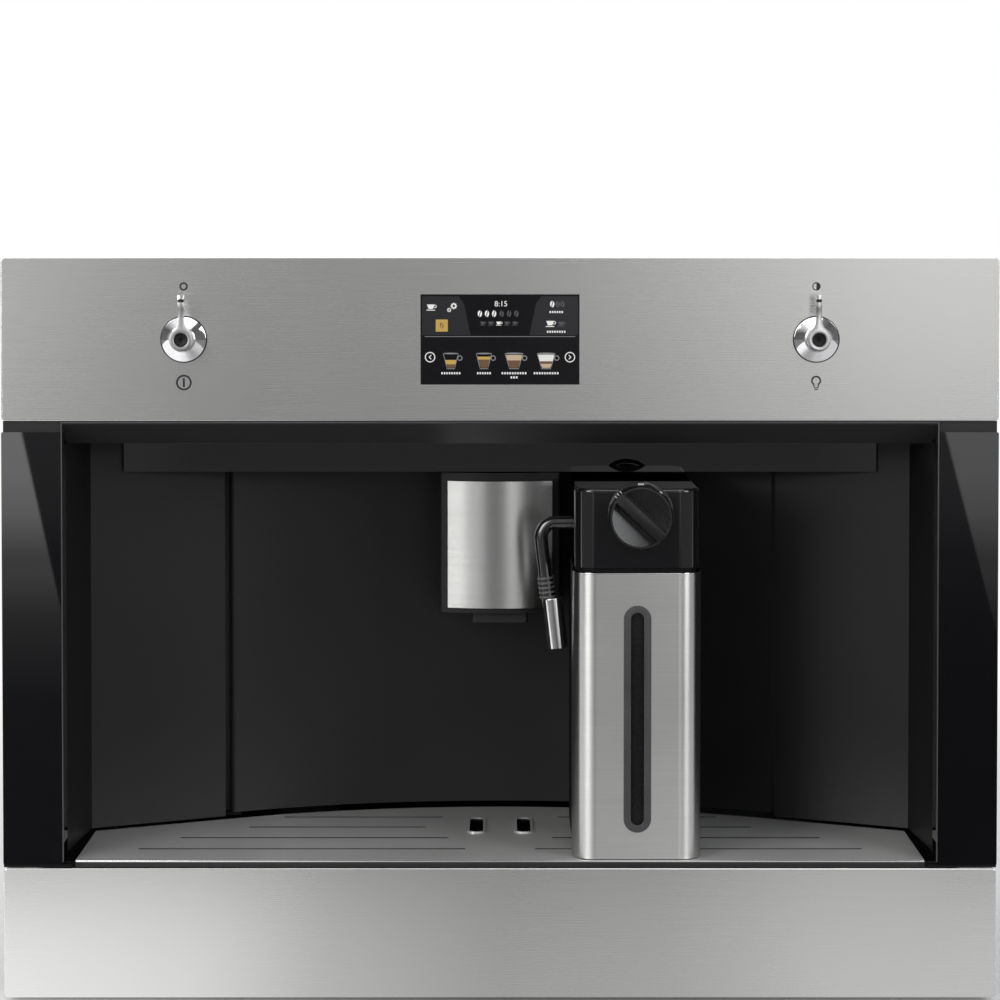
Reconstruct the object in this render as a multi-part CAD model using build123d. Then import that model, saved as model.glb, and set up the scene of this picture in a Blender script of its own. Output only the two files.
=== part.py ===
"""Built-in coffee machine on telescopic pull-out rails, in millimetres.

Frame while modelling: +X right, +Y into the cabinet, +Z up.  Y = 0 is the front
of the steel panels and Z = 0 the floor of the cabinet niche.  The finished part
is moved along Y so that its origin is the centre of its footprint.
"""
from build123d import *
from math import cos, radians, sin, sqrt
import os

# ---------------------------------------------------------------- clearances
seat_gap = 0.3            # between pieces of different bodies that sit together
run_fit = 0.05            # radial play of a pin or shaft that turns
door_gap = 2.4            # visible joint line on each side of the service door
case_clear = 2.0          # between the case and what slides inside it

# ---------------------------------------------------------------- front panels
fascia_width = 597.0
fascia_depth = 20.0
floor_gap = 3.0           # niche floor to the bottom edge of the drawer front
lower_panel_height = 78.3
column_gap = 2.1
column_height = 260.5
strip_height = 6.6
upper_panel_height = 98.0
column_width = 35.6
column_wall = 3.0
column_corner = 1.0
stop_width = 15.0         # strip behind each column that meets the cabinet's edge
stop_sheet = 2.0
panel_sheet = 1.2
panel_corner = 2.5

half_width = fascia_width / 2
opening_half = half_width - column_width
lower_top = floor_gap + lower_panel_height
column_bottom = lower_top + column_gap
column_top = column_bottom + column_height
upper_bottom = column_top + strip_height
fascia_top = upper_bottom + upper_panel_height
panel_middle = (upper_bottom + fascia_top) / 2

# ---------------------------------------------------------------- case
case_inset = 20.5         # case in from each end of the front
case_depth = 361.5
case_sheet = 1.5
case_top_drop = 3.5       # cover below the top edge of the front
base_height = 14.0        # underside of the base plate above the niche floor
shelf_height = 96.0
case_half = half_width - case_inset
inner_half = case_half - case_sheet
case_top = fascia_top - case_top_drop
base_top = base_height + case_sheet
shelf_top = shelf_height + case_sheet
cover_under = case_top - case_sheet
back_inside = case_depth - case_sheet

# ---------------------------------------------------------------- pull-out rails
rail_x = 225.0
rail_width = 46.0
rail_height = 13.0
rail_wall = 1.5
rail_lip = 4.0
rail_front = 32.0
rail_rear_gap = 9.5       # rail's end to the back of the case
rail_tab = 16.0           # screw tab, measured out from the rail's side
tab_inset = 40.0          # from each end of the rail to its tab
tab_hole_radius = 2.25
rail_length = case_depth - rail_rear_gap - rail_front

# ---------------------------------------------------------------- recess
side_wall_depth = 90.0
side_wall_lean = 4.9      # each side wall comes in this much over its depth
door_half = 176.0
door_edge_depth = 129.0
recess_depth = 170.0
wall_thick = 2.4
ceiling_drop = 15.0       # recess ceiling below the upper panel
reveal_height = 22.8      # ceiling to the underside of the shelf above spout and jug
deck_thick = 2.5
deck_overhang = 14.0      # behind the middle of the door
ceiling_thick = 2.0
reveal_depth = 97.0       # the upright plate that hides the deck
visor_depth = 27.6
wall_foot_gap = 1.5       # fixed walls above the drip grid
door_foot_gap = 3.6       # service door above the drip grid
door_head_gap = 0.9
bead_radius = 4.0         # rounded hinge edge of the door
hinge_pin_radius = 1.5
hinge_pin_grip = 5.0
lug_thick = 2.0
lug_width = 14.0          # from the joint line out behind the left wing
lug_post = 3.0
lug_reach = 22.0          # its post ends this far behind the middle of the door

ceiling_height = upper_bottom - ceiling_drop
deck_height = ceiling_height - reveal_height
recess_rise = recess_depth - door_edge_depth
recess_radius = (door_half ** 2 + recess_rise ** 2) / (2 * recess_rise)
recess_centre_y = recess_depth - recess_radius

# ---------------------------------------------------------------- drip drawer
grid_height = 85.8        # top of the drip grid
grid_sheet = 1.5
grid_side_gap = 2.6       # grid to the side walls at their narrowest
grid_front = 1.5
grid_lip = 4.2
slot_width = 3.0
slot_rows = ((133.0, 37.0, 140.0), (101.0, 47.0, 160.0), (68.0, 32.0, 200.0), (35.0, 21.0, 222.0))
rinse_hole_x = 15.0
rinse_hole_y = 105.0
rinse_hole_width = 8.5
rinse_hole_length = 44.0
rinse_rim = 1.6
rinse_rim_rise = 0.9
runner_height = 26.0      # underside of the drawer's side tongues
runner_thick = 4.0
runner_reach = 10.0
frame_lift = 0.8          # drawer frame above the base plate
frame_sheet = 2.0
frame_inset = 12.9        # drawer frame in from each column
frame_rear_gap = 25.0     # drawer frame's end to the back cover
basin_wall = 1.6
basin_front = 24.0
grounds_half = 108.0
grounds_start = 184.0
grounds_rear_gap = 30.0
grounds_top = 80.0
float_inset = 45.0        # float's middle in from the frame's side
float_y = 55.0
float_radius = 12.0
float_height = 10.0
float_pin_radius = 2.0
float_pin_height = 36.0
frame_half = opening_half - frame_inset
frame_end = back_inside - frame_rear_gap
grounds_end = back_inside - grounds_rear_gap
float_x = float_inset - frame_half

# ---------------------------------------------------------------- spout
spout_width = 77.4
spout_front = 100.0
spout_head_gap = 1.2      # below the shelf
spout_height = 89.3
spout_bulge = 8.0         # the front bows out this much at its middle
cover_width = 66.4
cover_foot = 3.2          # cover above the shell's foot
cover_head = 5.4          # cover below the shell's top
cover_sheet = 1.2
nozzle_width = 35.6
nozzle_height = 6.4
nozzle_depth = 26.0
nozzle_bore = 3.0
nozzle_pitch = 16.0
guide_width = 30.0
guide_neck = 14.0
guide_thick = 4.0
guide_neck_length = 5.0
spout_travel = 45.0
spout_top = deck_height - spout_head_gap
spout_bottom = spout_top - spout_height
cover_bottom = spout_bottom + cover_foot
cover_top = spout_top - cover_head

# ---------------------------------------------------------------- milk jug
jug_x = 82.6
jug_width = 77.5
jug_front = 2.0
jug_length = 148.0
jug_corner = 14.0
jug_wall = 2.5
sleeve_sheet = 0.9
sleeve_wrap = 34.0        # how far the steel sleeve runs back along the sides
sleeve_top = 258.3
lid_bottom = 262.0
lid_head_gap = 3.1        # below the shelf
lid_top = deck_height - lid_head_gap
lid_inset = 1.0
window_width = 16.6
window_slot = 7.9
window_bottom = 102.5
window_top = 239.5
window_depth = 1.6
dial_x = 84.4
dial_drop = 17.2          # dial's middle below the lid's top
dial_radius = 18.5
dial_rim = 1.6            # the dial's rim sticks out of the lid by this much
dial_depth = 9.0
dial_grip_width = 7.0
dial_grip_rise = 1.2
dial_grip_turn = 43.0     # degrees from level, down to the right
dial_dish = 3.5
dial_stem_reach = 12.0
dial_pocket = 3.0
dial_stem_radius = 4.0
port_drop = 25.6          # steam tube's middle below the lid's top
port_radius = 4.0
port_block = 32.0
port_half_height = 12.0
port_plug = 14.0          # the steam tube's reach into the lid
dial_z = lid_top - dial_drop
port_z = lid_top - port_drop

# ---------------------------------------------------------------- milk spout
pipe_radius = 4.1
pipe_y = 50.0
pipe_drop = 24.3          # below the lid's top
pipe_corner_x = 24.2
pipe_fall = 47.0          # from its middle line down to the nozzle
pipe_lean = 6.6           # degrees, the lower run leans outwards at its foot
pipe_bend = 9.5
sleeve_ring_radius = 4.9
sleeve_ring_height = 2.0
sleeve_core_radius = 4.3
sleeve_ring_count = 5
sleeve_ring_pitch = 2.9
spout_tube_radius = 6.2
spout_tube_bore = 4.8
spout_tube_end = 1.5      # closed thickness where the pipe enters
spout_tube_shift = 2.5    # the tube's middle line to the right of the pipe's
spout_tube_length = 31.0
pipe_socket = 8.0         # how deep the pipe's end turns inside the lid
pipe_z = lid_top - pipe_drop
pipe_end_z = pipe_z - pipe_fall

# ---------------------------------------------------------------- controls
lever_x = 189.0
lever_base_radius = 14.0
lever_base_height = 7.0
lever_base_top_radius = 9.5
lever_hub_radius = 6.8
lever_hub_length = 9.0
lever_recess_radius = 4.3
lever_recess_depth = 2.0
lever_arm_length = 26.7
lever_arm_width = 2.4
lever_tip_width = 3.6
lever_arm_thick = 2.6
lever_tip_bend = 2.6
lever_shaft_radius = 3.0
lever_shaft_reach = 14.0
switch_size = 24.0
display_width = 95.0
display_height = 54.0
display_z = 399.4
display_glass_thick = 2.0
display_glass_step = 0.2
module_depth = 10.0
module_margin = 4.0
board_thick = 1.6
board_front = 115.0
board_length = 95.0
board_foot = 120.0
board_height = 130.0
board_stand = 6.0         # off the side plate
board_post_radius = 2.5
board_post_inset = 5.0
board_parts = ((20.0, 30.0, 22.0, 26.0), (60.0, 30.0, 14.0, 20.0), (35.0, 80.0, 18.0, 30.0),
               (75.0, 95.0, 10.0, 16.0))

# ---------------------------------------------------------------- hopper and grinder
grinder_x = -195.0
hopper_width = 140.0
hopper_front_gap = 20.0   # behind the recess
hopper_rear_gap = 20.0    # from the back cover, with room for the lid's hinge
hopper_wall = 2.0
hopper_top = 440.0
hopper_shoulder = 375.0
hopper_foot = 318.0
hopper_neck = 46.0
grinder_motor_radius = 30.0
grinder_motor_height = 118.0
grinder_body_radius = 40.0
grind_cavity_radius = 32.0
burr_radius = 27.0
burr_height = 10.0
burr_shaft_radius = 4.0
burr_gap = 0.6
burr_tooth_length = 20.0
burr_tooth_width = 1.6
burr_tooth_depth = 1.5
burr_tooth_count = 12
burr_shaft_reach = 18.0   # into the motor
grind_dial_radius = 15.0
grind_dial_width = 10.0
hopper_length = back_inside - hopper_rear_gap - recess_depth - hopper_front_gap
grinder_y = back_inside - hopper_rear_gap - hopper_length / 2

# ---------------------------------------------------------------- water tank
tank_x = 210.0
tank_width = 105.0
tank_front_gap = 25.0     # behind the recess
tank_rear_gap = 15.0
tank_bottom = 240.0
tank_top = 440.0
tank_wall = 2.5
tank_corner = 8.0
seat_sheet = 3.0
valve_radius = 8.0
valve_length = 6.0
tank_length = back_inside - tank_rear_gap - recess_depth - tank_front_gap
tank_y = back_inside - tank_rear_gap - tank_length / 2

# ---------------------------------------------------------------- lids on the case
lid_sheet = 2.5
lid_barrel_radius = 3.0
lid_pin_radius = 1.2
lid_ear = 4.0
cover_opening_gap = 4.0

# ---------------------------------------------------------------- brew unit and boilers
brew_y = 236.0
brew_half = 66.0
brew_front = 196.0
brew_back = 268.0
brew_plate = 4.0
brew_top = 260.0
chamber_radius = 22.0
chamber_bore = 18.0
chamber_height = 60.0
chamber_bottom = 130.0
chamber_travel = 40.0
piston_radius = 17.6
piston_entry = 16.0       # the raised chamber takes this much of the piston
spindle_y = 284.0
spindle_radius = 5.0
gearbox_width = 52.0
gearbox_depth = 44.0
gearbox_height = 26.0
gearbox_front = 12.0      # ahead of the spindle
gearbox_left = 16.0       # beside the spindle
motor_radius = 14.0
motor_rise = 40.0
motor_behind = 10.0
spindle_seat = 12.0       # depth of the spindle's foot in the gearbox
coffee_boiler_x = 115.0
coffee_boiler_z = 150.0
coffee_boiler_radius = 26.0
coffee_boiler_rear_gap = 35.0
steam_boiler_radius = 30.0
steam_boiler_height = 112.0
boiler_start = 215.0
pump_x = -186.0
pump_rear_gap = 60.0
pump_radius = 22.0
pump_length = 84.0
hose_radius = 3.0
hose_bend = 6.0
hose_stub = 14.0          # straight run from the pump, and the riser's gap to the back cover
coffee_boiler_length = back_inside - coffee_boiler_rear_gap - boiler_start
pump_y = back_inside - pump_rear_gap
riser_x = pump_x + pump_length / 2 + hose_stub
riser_y = back_inside - hose_stub

# ---------------------------------------------------------------- small parts
inlet_width = 48.0
inlet_height = 28.0
inlet_x = -90.0
inlet_z = 60.0
screw_head_radius = 3.5
screw_head_height = 1.8
screw_radius = 1.5
screw_inset = 4.2         # rear row of screws, in from the cover's back edge
light_length = 400.0
light_width = 10.0
light_y = 62.0
vent_width = 60.0
vent_height = 3.0
vent_pitch = 9.0
vent_count = 9
side_vent_start = 210.0
side_vent_foot = 157.5
back_vent_foot = 177.5
back_vent_x = 170.0


# ================================================================ helpers
def block(x0, x1, y0, y1, z0, z1):
    """A box between two corners."""
    return Pos((x0 + x1) / 2, (y0 + y1) / 2, (z0 + z1) / 2) * Box(x1 - x0, y1 - y0, z1 - z0)


def rod_x(y, z, x0, x1, radius):
    return Pos((x0 + x1) / 2, y, z) * Rot(0, 90, 0) * Cylinder(radius, x1 - x0)


def rod_y(x, z, y0, y1, radius):
    return Pos(x, (y0 + y1) / 2, z) * Rot(90, 0, 0) * Cylinder(radius, y1 - y0)


def rod_z(x, y, z0, z1, radius):
    return Pos(x, y, (z0 + z1) / 2) * Cylinder(radius, z1 - z0)


def plan_prism(outline, z0, z1):
    """Raise a flat outline, drawn on the XY plane, from z0 to z1."""
    return extrude(Pos(0, 0, z0) * outline, z1 - z0, dir=(0, 0, 1))


def side_prism(points, x0, x1):
    """Run a (y, z) outline along X."""
    return extrude(Plane.YZ.offset(x0) * Polygon(*points, align=None), x1 - x0, dir=(1, 0, 0))


def front_prism(outline, y0, y1):
    """Run an outline drawn as (x, z) back along Y."""
    return extrude(Plane.XZ.offset(-y0) * outline, y1 - y0, dir=(0, 1, 0))


def rounded_front(x, z, width, height, corner, y0, y1):
    return front_prism(Pos(x, z) * RectangleRounded(width, height, corner), y0, y1)


def both_sides(shape):
    """The shape and its mirror image across the machine's middle plane."""
    return [shape, mirror(shape, about=Plane.YZ)]


def group(solids):
    """Separate solids that share one node."""
    return Compound(children=[piece for item in solids for piece in item.solids()])


def wall_x(depth):
    """Half width between the recess walls at a depth, up to the door's edge."""
    if depth <= side_wall_depth:
        share = max(depth - fascia_depth, 0) / (side_wall_depth - fascia_depth)
        return opening_half - side_wall_lean * share
    corner = opening_half - side_wall_lean
    share = (depth - side_wall_depth) / (door_edge_depth - side_wall_depth)
    return corner + (door_half - corner) * share


def arc_y(x, radius=recess_radius):
    """Depth of the curved back wall's front face at a place across."""
    return recess_centre_y + sqrt(radius ** 2 - x ** 2)


def tray_plan(gap, front):
    """Outline that follows the recess walls at a constant gap."""
    wide_front = wall_x(front) - gap
    wide_back = wall_x(side_wall_depth) - gap
    left = Line((-door_half, door_edge_depth - gap), (-wide_back, side_wall_depth - gap / 2))
    side = Line((-wide_back, side_wall_depth - gap / 2), (-wide_back, front))
    edge = Line((-wide_back, front), (wide_back, front))
    back_side = Line((wide_back, front), (wide_back, side_wall_depth - gap / 2))
    right = Line((wide_back, side_wall_depth - gap / 2), (door_half, door_edge_depth - gap))
    arc = ThreePointArc((door_half, door_edge_depth - gap), (0, recess_depth - gap),
                        (-door_half, door_edge_depth - gap))
    return make_face([left, side, edge, back_side, right, arc]), wide_front


# ================================================================ pull-out rails
def channel(x, width, z0, z1):
    """A rail: a channel whose two lips hold the next rail in."""
    end = rail_front + rail_length
    inside = width / 2 - rail_wall
    body = block(x - width / 2, x + width / 2, rail_front, end, z0, z1)
    body -= block(x - inside, x + inside, rail_front, end, z0 + rail_wall, z1 - rail_wall)
    mouth = inside - rail_lip
    return body - block(x - mouth, x + mouth, rail_front, end, z1 - rail_wall, z1)


def tab_places():
    out = rail_x + rail_width / 2 + rail_tab / 2
    return [(out, rail_front + tab_inset), (out, rail_front + rail_length - tab_inset)]


def make_fixed_rails():
    rail = channel(rail_x, rail_width, 0, rail_height)
    for x, y in tab_places():
        rail += block(x - rail_tab / 2, x + rail_tab / 2, y - rail_tab / 2, y + rail_tab / 2, 0, rail_wall)
        rail -= rod_z(x, y, 0, rail_wall, tab_hole_radius)
    return group(both_sides(rail))


middle_width = rail_width - 2 * (rail_wall + seat_gap)
middle_bottom = rail_wall + seat_gap
middle_top = rail_height - rail_wall - seat_gap
inner_width = middle_width - 2 * (rail_wall + seat_gap)
inner_bottom = middle_bottom + rail_wall + seat_gap
inner_top = middle_top - rail_wall - seat_gap
riser_half = inner_width / 2 - rail_lip - 2 * rail_wall


def make_middle_rails():
    return group(both_sides(channel(rail_x, middle_width, middle_bottom, middle_top)))


def make_inner_rails():
    end = rail_front + rail_length
    half = inner_width / 2
    bar = block(rail_x - half, rail_x + half, rail_front, end, inner_bottom, inner_top)
    bar += block(rail_x - riser_half, rail_x + riser_half, rail_front, end, inner_top, base_height)
    return group(both_sides(bar))


# ================================================================ case
guide_start = 30.0
guide_end = frame_end
guide_inside = frame_half + 2 * seat_gap
guide_outside = guide_inside + runner_reach + 6.0
guide_top = runner_height + runner_thick + 8.0
runner_tip = frame_half + runner_reach


def make_chassis_base():
    """Base plate with the two grooved runners that carry the drip drawer."""
    plate = block(-inner_half, inner_half, fascia_depth + case_clear, back_inside, base_height, base_top)
    runner = block(guide_inside, guide_outside, guide_start, guide_end, base_top, guide_top)
    runner -= block(guide_inside, runner_tip + seat_gap, guide_start, guide_end,
                    runner_height - seat_gap, runner_height + runner_thick + seat_gap)
    for item in both_sides(runner):
        plate += item
    return plate


def make_side_plates():
    plate = block(inner_half, case_half, fascia_depth, back_inside, base_height, cover_under)
    for index in range(vent_count):
        z = side_vent_foot + index * vent_pitch
        plate -= block(inner_half, case_half, side_vent_start, side_vent_start + vent_width,
                       z, z + vent_height)
    return group(both_sides(plate))


def make_back_cover():
    plate = block(-case_half, case_half, back_inside, case_depth, base_height, cover_under)
    plate -= block(inlet_x - inlet_width / 2, inlet_x + inlet_width / 2, back_inside, case_depth,
                   inlet_z - inlet_height / 2, inlet_z + inlet_height / 2)
    half = vent_width / 2
    for x in (-back_vent_x, 0.0, back_vent_x):
        for index in range(vent_count):
            z = back_vent_foot + index * vent_pitch
            plate -= block(x - half, x + half, back_inside, case_depth, z, z + vent_height)
    return plate


lid_axis_z = cover_under + 0.6


def lid_axis_y(back):
    """Hinge line of a lid, just behind the back wall of its vessel."""
    return back + lid_barrel_radius + seat_gap


def cover_opening(x, width, y, length):
    gap = cover_opening_gap
    half = width / 2 + gap
    back = lid_axis_y(y + length / 2) + lid_barrel_radius + gap / 2
    return block(x - half, x + half, y - length / 2 - gap, back, cover_under, case_top)


def screw_places():
    xs = (-inner_half + 10, -100.0, 100.0, inner_half - 10)
    return [(x, y) for x in xs for y in (fascia_depth + 14, case_depth - screw_inset)]


def make_top_cover():
    plate = block(-case_half, case_half, fascia_depth, case_depth, cover_under, case_top)
    plate -= cover_opening(grinder_x, hopper_width, grinder_y, hopper_length)
    plate -= cover_opening(tank_x, tank_width, tank_y, tank_length)
    for x, y in screw_places():
        plate -= rod_z(x, y, cover_under, case_top, screw_radius)
    for index in range(vent_count):
        y = side_vent_start + index * vent_pitch
        plate -= block(-vent_width / 2, vent_width / 2, y, y + vent_height, cover_under, case_top)
    return plate


def make_screws():
    """Pan-head screws that hold the top cover down."""
    pieces = []
    for x, y in screw_places():
        head = rod_z(x, y, case_top, case_top + screw_head_height, screw_head_radius)
        shank = rod_z(x, y, cover_under - 4, case_top, screw_radius)
        slot = block(x - 2.4, x + 2.4, y - 0.4, y + 0.4, case_top + 1, case_top + screw_head_height)
        pieces.append(head + shank - slot)
    return group(pieces)


def make_service_shelf():
    """Floor of the works above the drawer, with the chute hole for the grounds."""
    front = recess_depth + 20
    plate = block(-inner_half, inner_half, front, back_inside, shelf_height, shelf_top)
    plate -= block(-40, 40, brew_front + 10, brew_back - 20, shelf_height, shelf_top)
    plate -= rod_z(riser_x, riser_y, shelf_height, shelf_top, hose_radius + 2)
    bracket_inside = opening_half + wall_thick + seat_gap
    post = block(bracket_inside, inner_half, guide_end + 5, back_inside, base_top, shelf_height)
    for item in both_sides(post):
        plate += item
    arm = block(bracket_inside, inner_half, fascia_depth + 4, front, shelf_height, shelf_top)
    for item in both_sides(arm):
        plate += item
    return plate


# ================================================================ front panels
def steel_box(z0, z1):
    """Folded stainless front: a face with four returned edges, open behind."""
    middle = (z0 + z1) / 2
    height = z1 - z0
    outer = rounded_front(0, middle, fascia_width, height, panel_corner, 0, fascia_depth)
    outer = fillet(outer.edges().group_by(Axis.Y)[0], 0.8)
    inner = block(-half_width + panel_sheet, half_width - panel_sheet, panel_sheet, fascia_depth,
                  z0 + panel_sheet, z1 - panel_sheet)
    return outer - inner


def make_upper_fascia():
    panel = steel_box(upper_bottom, fascia_top)
    cut_w = display_width / 2
    cut_h = display_height / 2
    panel -= block(-cut_w, cut_w, 0, panel_sheet, display_z - cut_h, display_z + cut_h)
    for x in (-lever_x, lever_x):
        panel -= rod_y(x, panel_middle, 0, panel_sheet, lever_shaft_radius + seat_gap)
    return panel


def make_side_columns():
    """Hollow uprights; a strip along the back of each meets the cabinet's edge."""
    middle = (column_bottom + column_top) / 2
    x = half_width - column_width / 2
    back = fascia_depth - seat_gap
    column = rounded_front(x, middle, column_width, column_height, column_corner, 0, back)
    room = rounded_front(x, middle, column_width - 2 * column_wall, column_height - 2 * column_wall,
                         column_corner, column_wall, back)
    stop = block(half_width - stop_width, half_width, back - stop_sheet, fascia_depth,
                 column_bottom + column_corner, column_top - column_corner)
    return group(both_sides(column - room + stop))


def make_visor():
    """Slanted lintel under the upper panel, and the black strips over the columns."""
    low = upper_bottom - 1.8
    lintel = side_prism([(0.6, low), (visor_depth, ceiling_height), (visor_depth, ceiling_height + 3),
                         (4.0, upper_bottom), (0.6, upper_bottom)], -opening_half, opening_half)
    strip = block(opening_half, half_width - 0.8, 2.0, fascia_depth, column_top, upper_bottom)
    return group([lintel] + both_sides(strip))


# ================================================================ recess
wall_foot = grid_height + wall_foot_gap


def slanted_plate(x0, y0, x1, y1, z0, z1):
    """Upright plate whose visible face runs from one plan point to the other."""
    length = sqrt((x1 - x0) ** 2 + (y1 - y0) ** 2)
    nx = -(y1 - y0) / length * wall_thick
    ny = (x1 - x0) / length * wall_thick
    points = [(x0, y0), (x1, y1), (x1 + nx, y1 + ny), (x0 + nx, y0 + ny)]
    return plan_prism(Polygon(*points, align=None), z0, z1)


def make_recess_walls():
    """Two side walls and two slanted wings, each a flat plate."""
    corner = wall_x(side_wall_depth)
    side = slanted_plate(-opening_half, fascia_depth, -corner, side_wall_depth, wall_foot, ceiling_height)
    edge = door_half + door_gap / 2
    slope = (door_edge_depth - side_wall_depth) / (corner - door_half)
    edge_y = door_edge_depth - slope * door_gap / 2
    wing = slanted_plate(-corner, side_wall_depth, -edge, edge_y, wall_foot, ceiling_height)
    wing -= side
    return group(both_sides(side) + both_sides(wing))


def make_recess_ceiling():
    front = wall_x(visor_depth)
    rear = wall_x(reveal_depth)
    rear_y = reveal_depth + wall_thick
    points = [(-front, visor_depth), (front, visor_depth), (rear, rear_y), (-rear, rear_y)]
    return plan_prism(Polygon(*points, align=None), ceiling_height, ceiling_height + ceiling_thick)


def make_reveal_plate():
    half = wall_x(reveal_depth + wall_thick) - seat_gap
    return block(-half, half, reveal_depth, reveal_depth + wall_thick, deck_height, ceiling_height)


hinge_x = -(door_half - door_gap / 2 - bead_radius)
hinge_y = arc_y(hinge_x, recess_radius + bead_radius)
door_foot = grid_height + door_foot_gap
door_head = deck_height - door_head_gap


def make_upper_deck():
    """Shelf above spout and jug; the door's upper hinge pin stands in it."""
    front = reveal_depth + wall_thick
    edge = door_half - seat_gap
    wide = wall_x(front) - seat_gap
    back = recess_depth + deck_overhang
    points = [(-wide, front), (wide, front), (edge, door_edge_depth), (edge, back), (-edge, back),
              (-edge, door_edge_depth)]
    deck = plan_prism(Polygon(*points, align=None), deck_height, deck_height + deck_thick)
    return deck - rod_z(hinge_x, hinge_y, deck_height, deck_height + deck_thick, hinge_pin_radius)


def make_hinge_pins():
    """Upper pin, and the lower pin on its lug behind the left wing."""
    upper = rod_z(hinge_x, hinge_y, door_head - hinge_pin_grip, deck_height + deck_thick, hinge_pin_radius)
    lug_top = door_foot - seat_gap
    lug_bottom = lug_top - lug_thick
    edge = -(door_half + door_gap / 2)
    eye = 2 * hinge_pin_radius
    out = edge - lug_width
    lug = block(out, hinge_x + eye, hinge_y - eye, hinge_y + lug_width / 2, lug_bottom, lug_top)
    lug += block(out, out + lug_post, hinge_y - eye, recess_depth + lug_reach, lug_bottom, shelf_height)
    lower = rod_z(hinge_x, hinge_y, lug_top, door_foot + hinge_pin_grip, hinge_pin_radius)
    return group([upper, lug + lower])


def make_light_bar():
    return block(-light_length / 2, light_length / 2, light_y - light_width / 2, light_y + light_width / 2,
                 ceiling_height - 2, ceiling_height)


# ================================================================ service door
def ring_band(inner_radius, thick, x0, x1):
    """Plan of a curved band behind the recess, cut off at two places across."""
    band = Pos(0, recess_centre_y) * (Circle(inner_radius + thick) - Circle(inner_radius))
    window = Pos((x0 + x1) / 2, recess_depth) * Rectangle(x1 - x0, recess_radius)
    return band & window


guide_back = recess_depth - 3.0
guide_face = guide_back - guide_neck_length - guide_thick
guide_top_z = spout_top - 2
guide_foot_z = spout_bottom + 4     # at its lowest the spout still holds on by about half its height


def make_service_door():
    """Curved door with a rounded hinge edge, two stiffening ribs and the spout's T-guide."""
    right = door_half - door_gap / 2
    panel = plan_prism(ring_band(recess_radius, wall_thick, hinge_x, right), door_foot, door_head)
    bead = rod_z(hinge_x, hinge_y, door_foot, door_head, bead_radius)
    door = panel + bead
    rib = Pos(0, recess_depth) * Rectangle(2 * 150, 28)
    rib -= Pos(0, recess_centre_y) * Circle(recess_radius + wall_thick / 2)
    door += plan_prism(rib, door_foot, door_foot + 3)
    door += plan_prism(rib, door_head - 3, door_head)
    neck_front = guide_face + guide_thick
    door += block(-guide_neck / 2, guide_neck / 2, neck_front, recess_depth + 1, guide_foot_z, guide_top_z)
    door += block(-guide_width / 2, guide_width / 2, guide_face, neck_front, guide_foot_z, guide_top_z)
    play = hinge_pin_radius + run_fit
    door -= rod_z(hinge_x, hinge_y, door_foot, door_foot + hinge_pin_grip + seat_gap, play)
    return door - rod_z(hinge_x, hinge_y, door_head - hinge_pin_grip - seat_gap, door_head, play)


def make_steam_port():
    """Block on the door whose short tube plugs into the jug's lid."""
    back = jug_front + jug_length + seat_gap
    half = port_block / 2
    wall = arc_y(jug_x - half)
    body = block(jug_x - half, jug_x + half, back + 1, wall,
                 port_z - port_half_height, port_z + port_half_height)
    body -= plan_prism(ring_band(recess_radius, wall_thick + half, 0, door_half),
                       port_z - half, port_z + half)
    tube = rod_y(jug_x, port_z, back - port_plug, back + 1, port_radius)
    bore = rod_y(jug_x, port_z, back - port_plug, back + 4, port_radius / 2)
    return body + tube - bore


# ================================================================ spout
def bowed_plan(half, front, back, bulge):
    """Plan with a bowed front edge: half width, middle of the front, and back."""
    side = front + bulge
    edges = [ThreePointArc((-half, side), (0, front), (half, side)),
             Line((half, side), (half, back)),
             Line((half, back), (-half, back)),
             Line((-half, back), (-half, side))]
    return make_face(edges)


spout_back = guide_back - 0.8


def make_spout_shell():
    half = spout_width / 2
    plan = bowed_plan(half, spout_front + cover_sheet, spout_back, spout_bulge)
    shell = plan_prism(plan, spout_bottom, spout_top)
    shell = fillet(shell.edges().filter_by(Axis.Z).group_by(Axis.Y)[0], 3.0)
    room = plan_prism(bowed_plan(half - 3, spout_front + 5, guide_face - 6, spout_bulge),
                      spout_bottom + 3, spout_top - 3)
    shell -= room
    gap = seat_gap
    head = guide_width / 2 + gap
    neck = guide_neck / 2 + gap
    shell -= block(-head, head, guide_face - gap, guide_face + guide_thick + gap, spout_bottom, spout_top)
    shell -= block(-neck, neck, guide_face, spout_back, spout_bottom, spout_top)
    return shell


def make_spout_cover():
    half = cover_width / 2
    share = (half / (spout_width / 2)) ** 2
    front = bowed_plan(half, spout_front, spout_front + 12, spout_bulge * share)
    behind = bowed_plan(spout_width / 2, spout_front + cover_sheet, spout_front + 12, spout_bulge)
    return plan_prism(front - behind, cover_bottom, cover_top)


def make_spout_nozzles():
    bottom = spout_bottom - nozzle_height
    y0 = spout_front + 6
    body = block(-nozzle_width / 2, nozzle_width / 2, y0, y0 + nozzle_depth, bottom, spout_bottom)
    body = fillet(body.edges().filter_by(Axis.Z), 2.0)
    for x in (-nozzle_pitch / 2, nozzle_pitch / 2):
        body -= rod_z(x, y0 + nozzle_depth / 2, bottom, spout_bottom, nozzle_bore)
    return body


# ================================================================ milk jug
jug_back = jug_front + jug_length
jug_y = (jug_front + jug_back) / 2
jug_foot = grid_height + seat_gap


def jug_plan(inset):
    return Pos(jug_x, jug_y) * RectangleRounded(jug_width - 2 * inset, jug_length - 2 * inset,
                                                jug_corner - inset)


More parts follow.
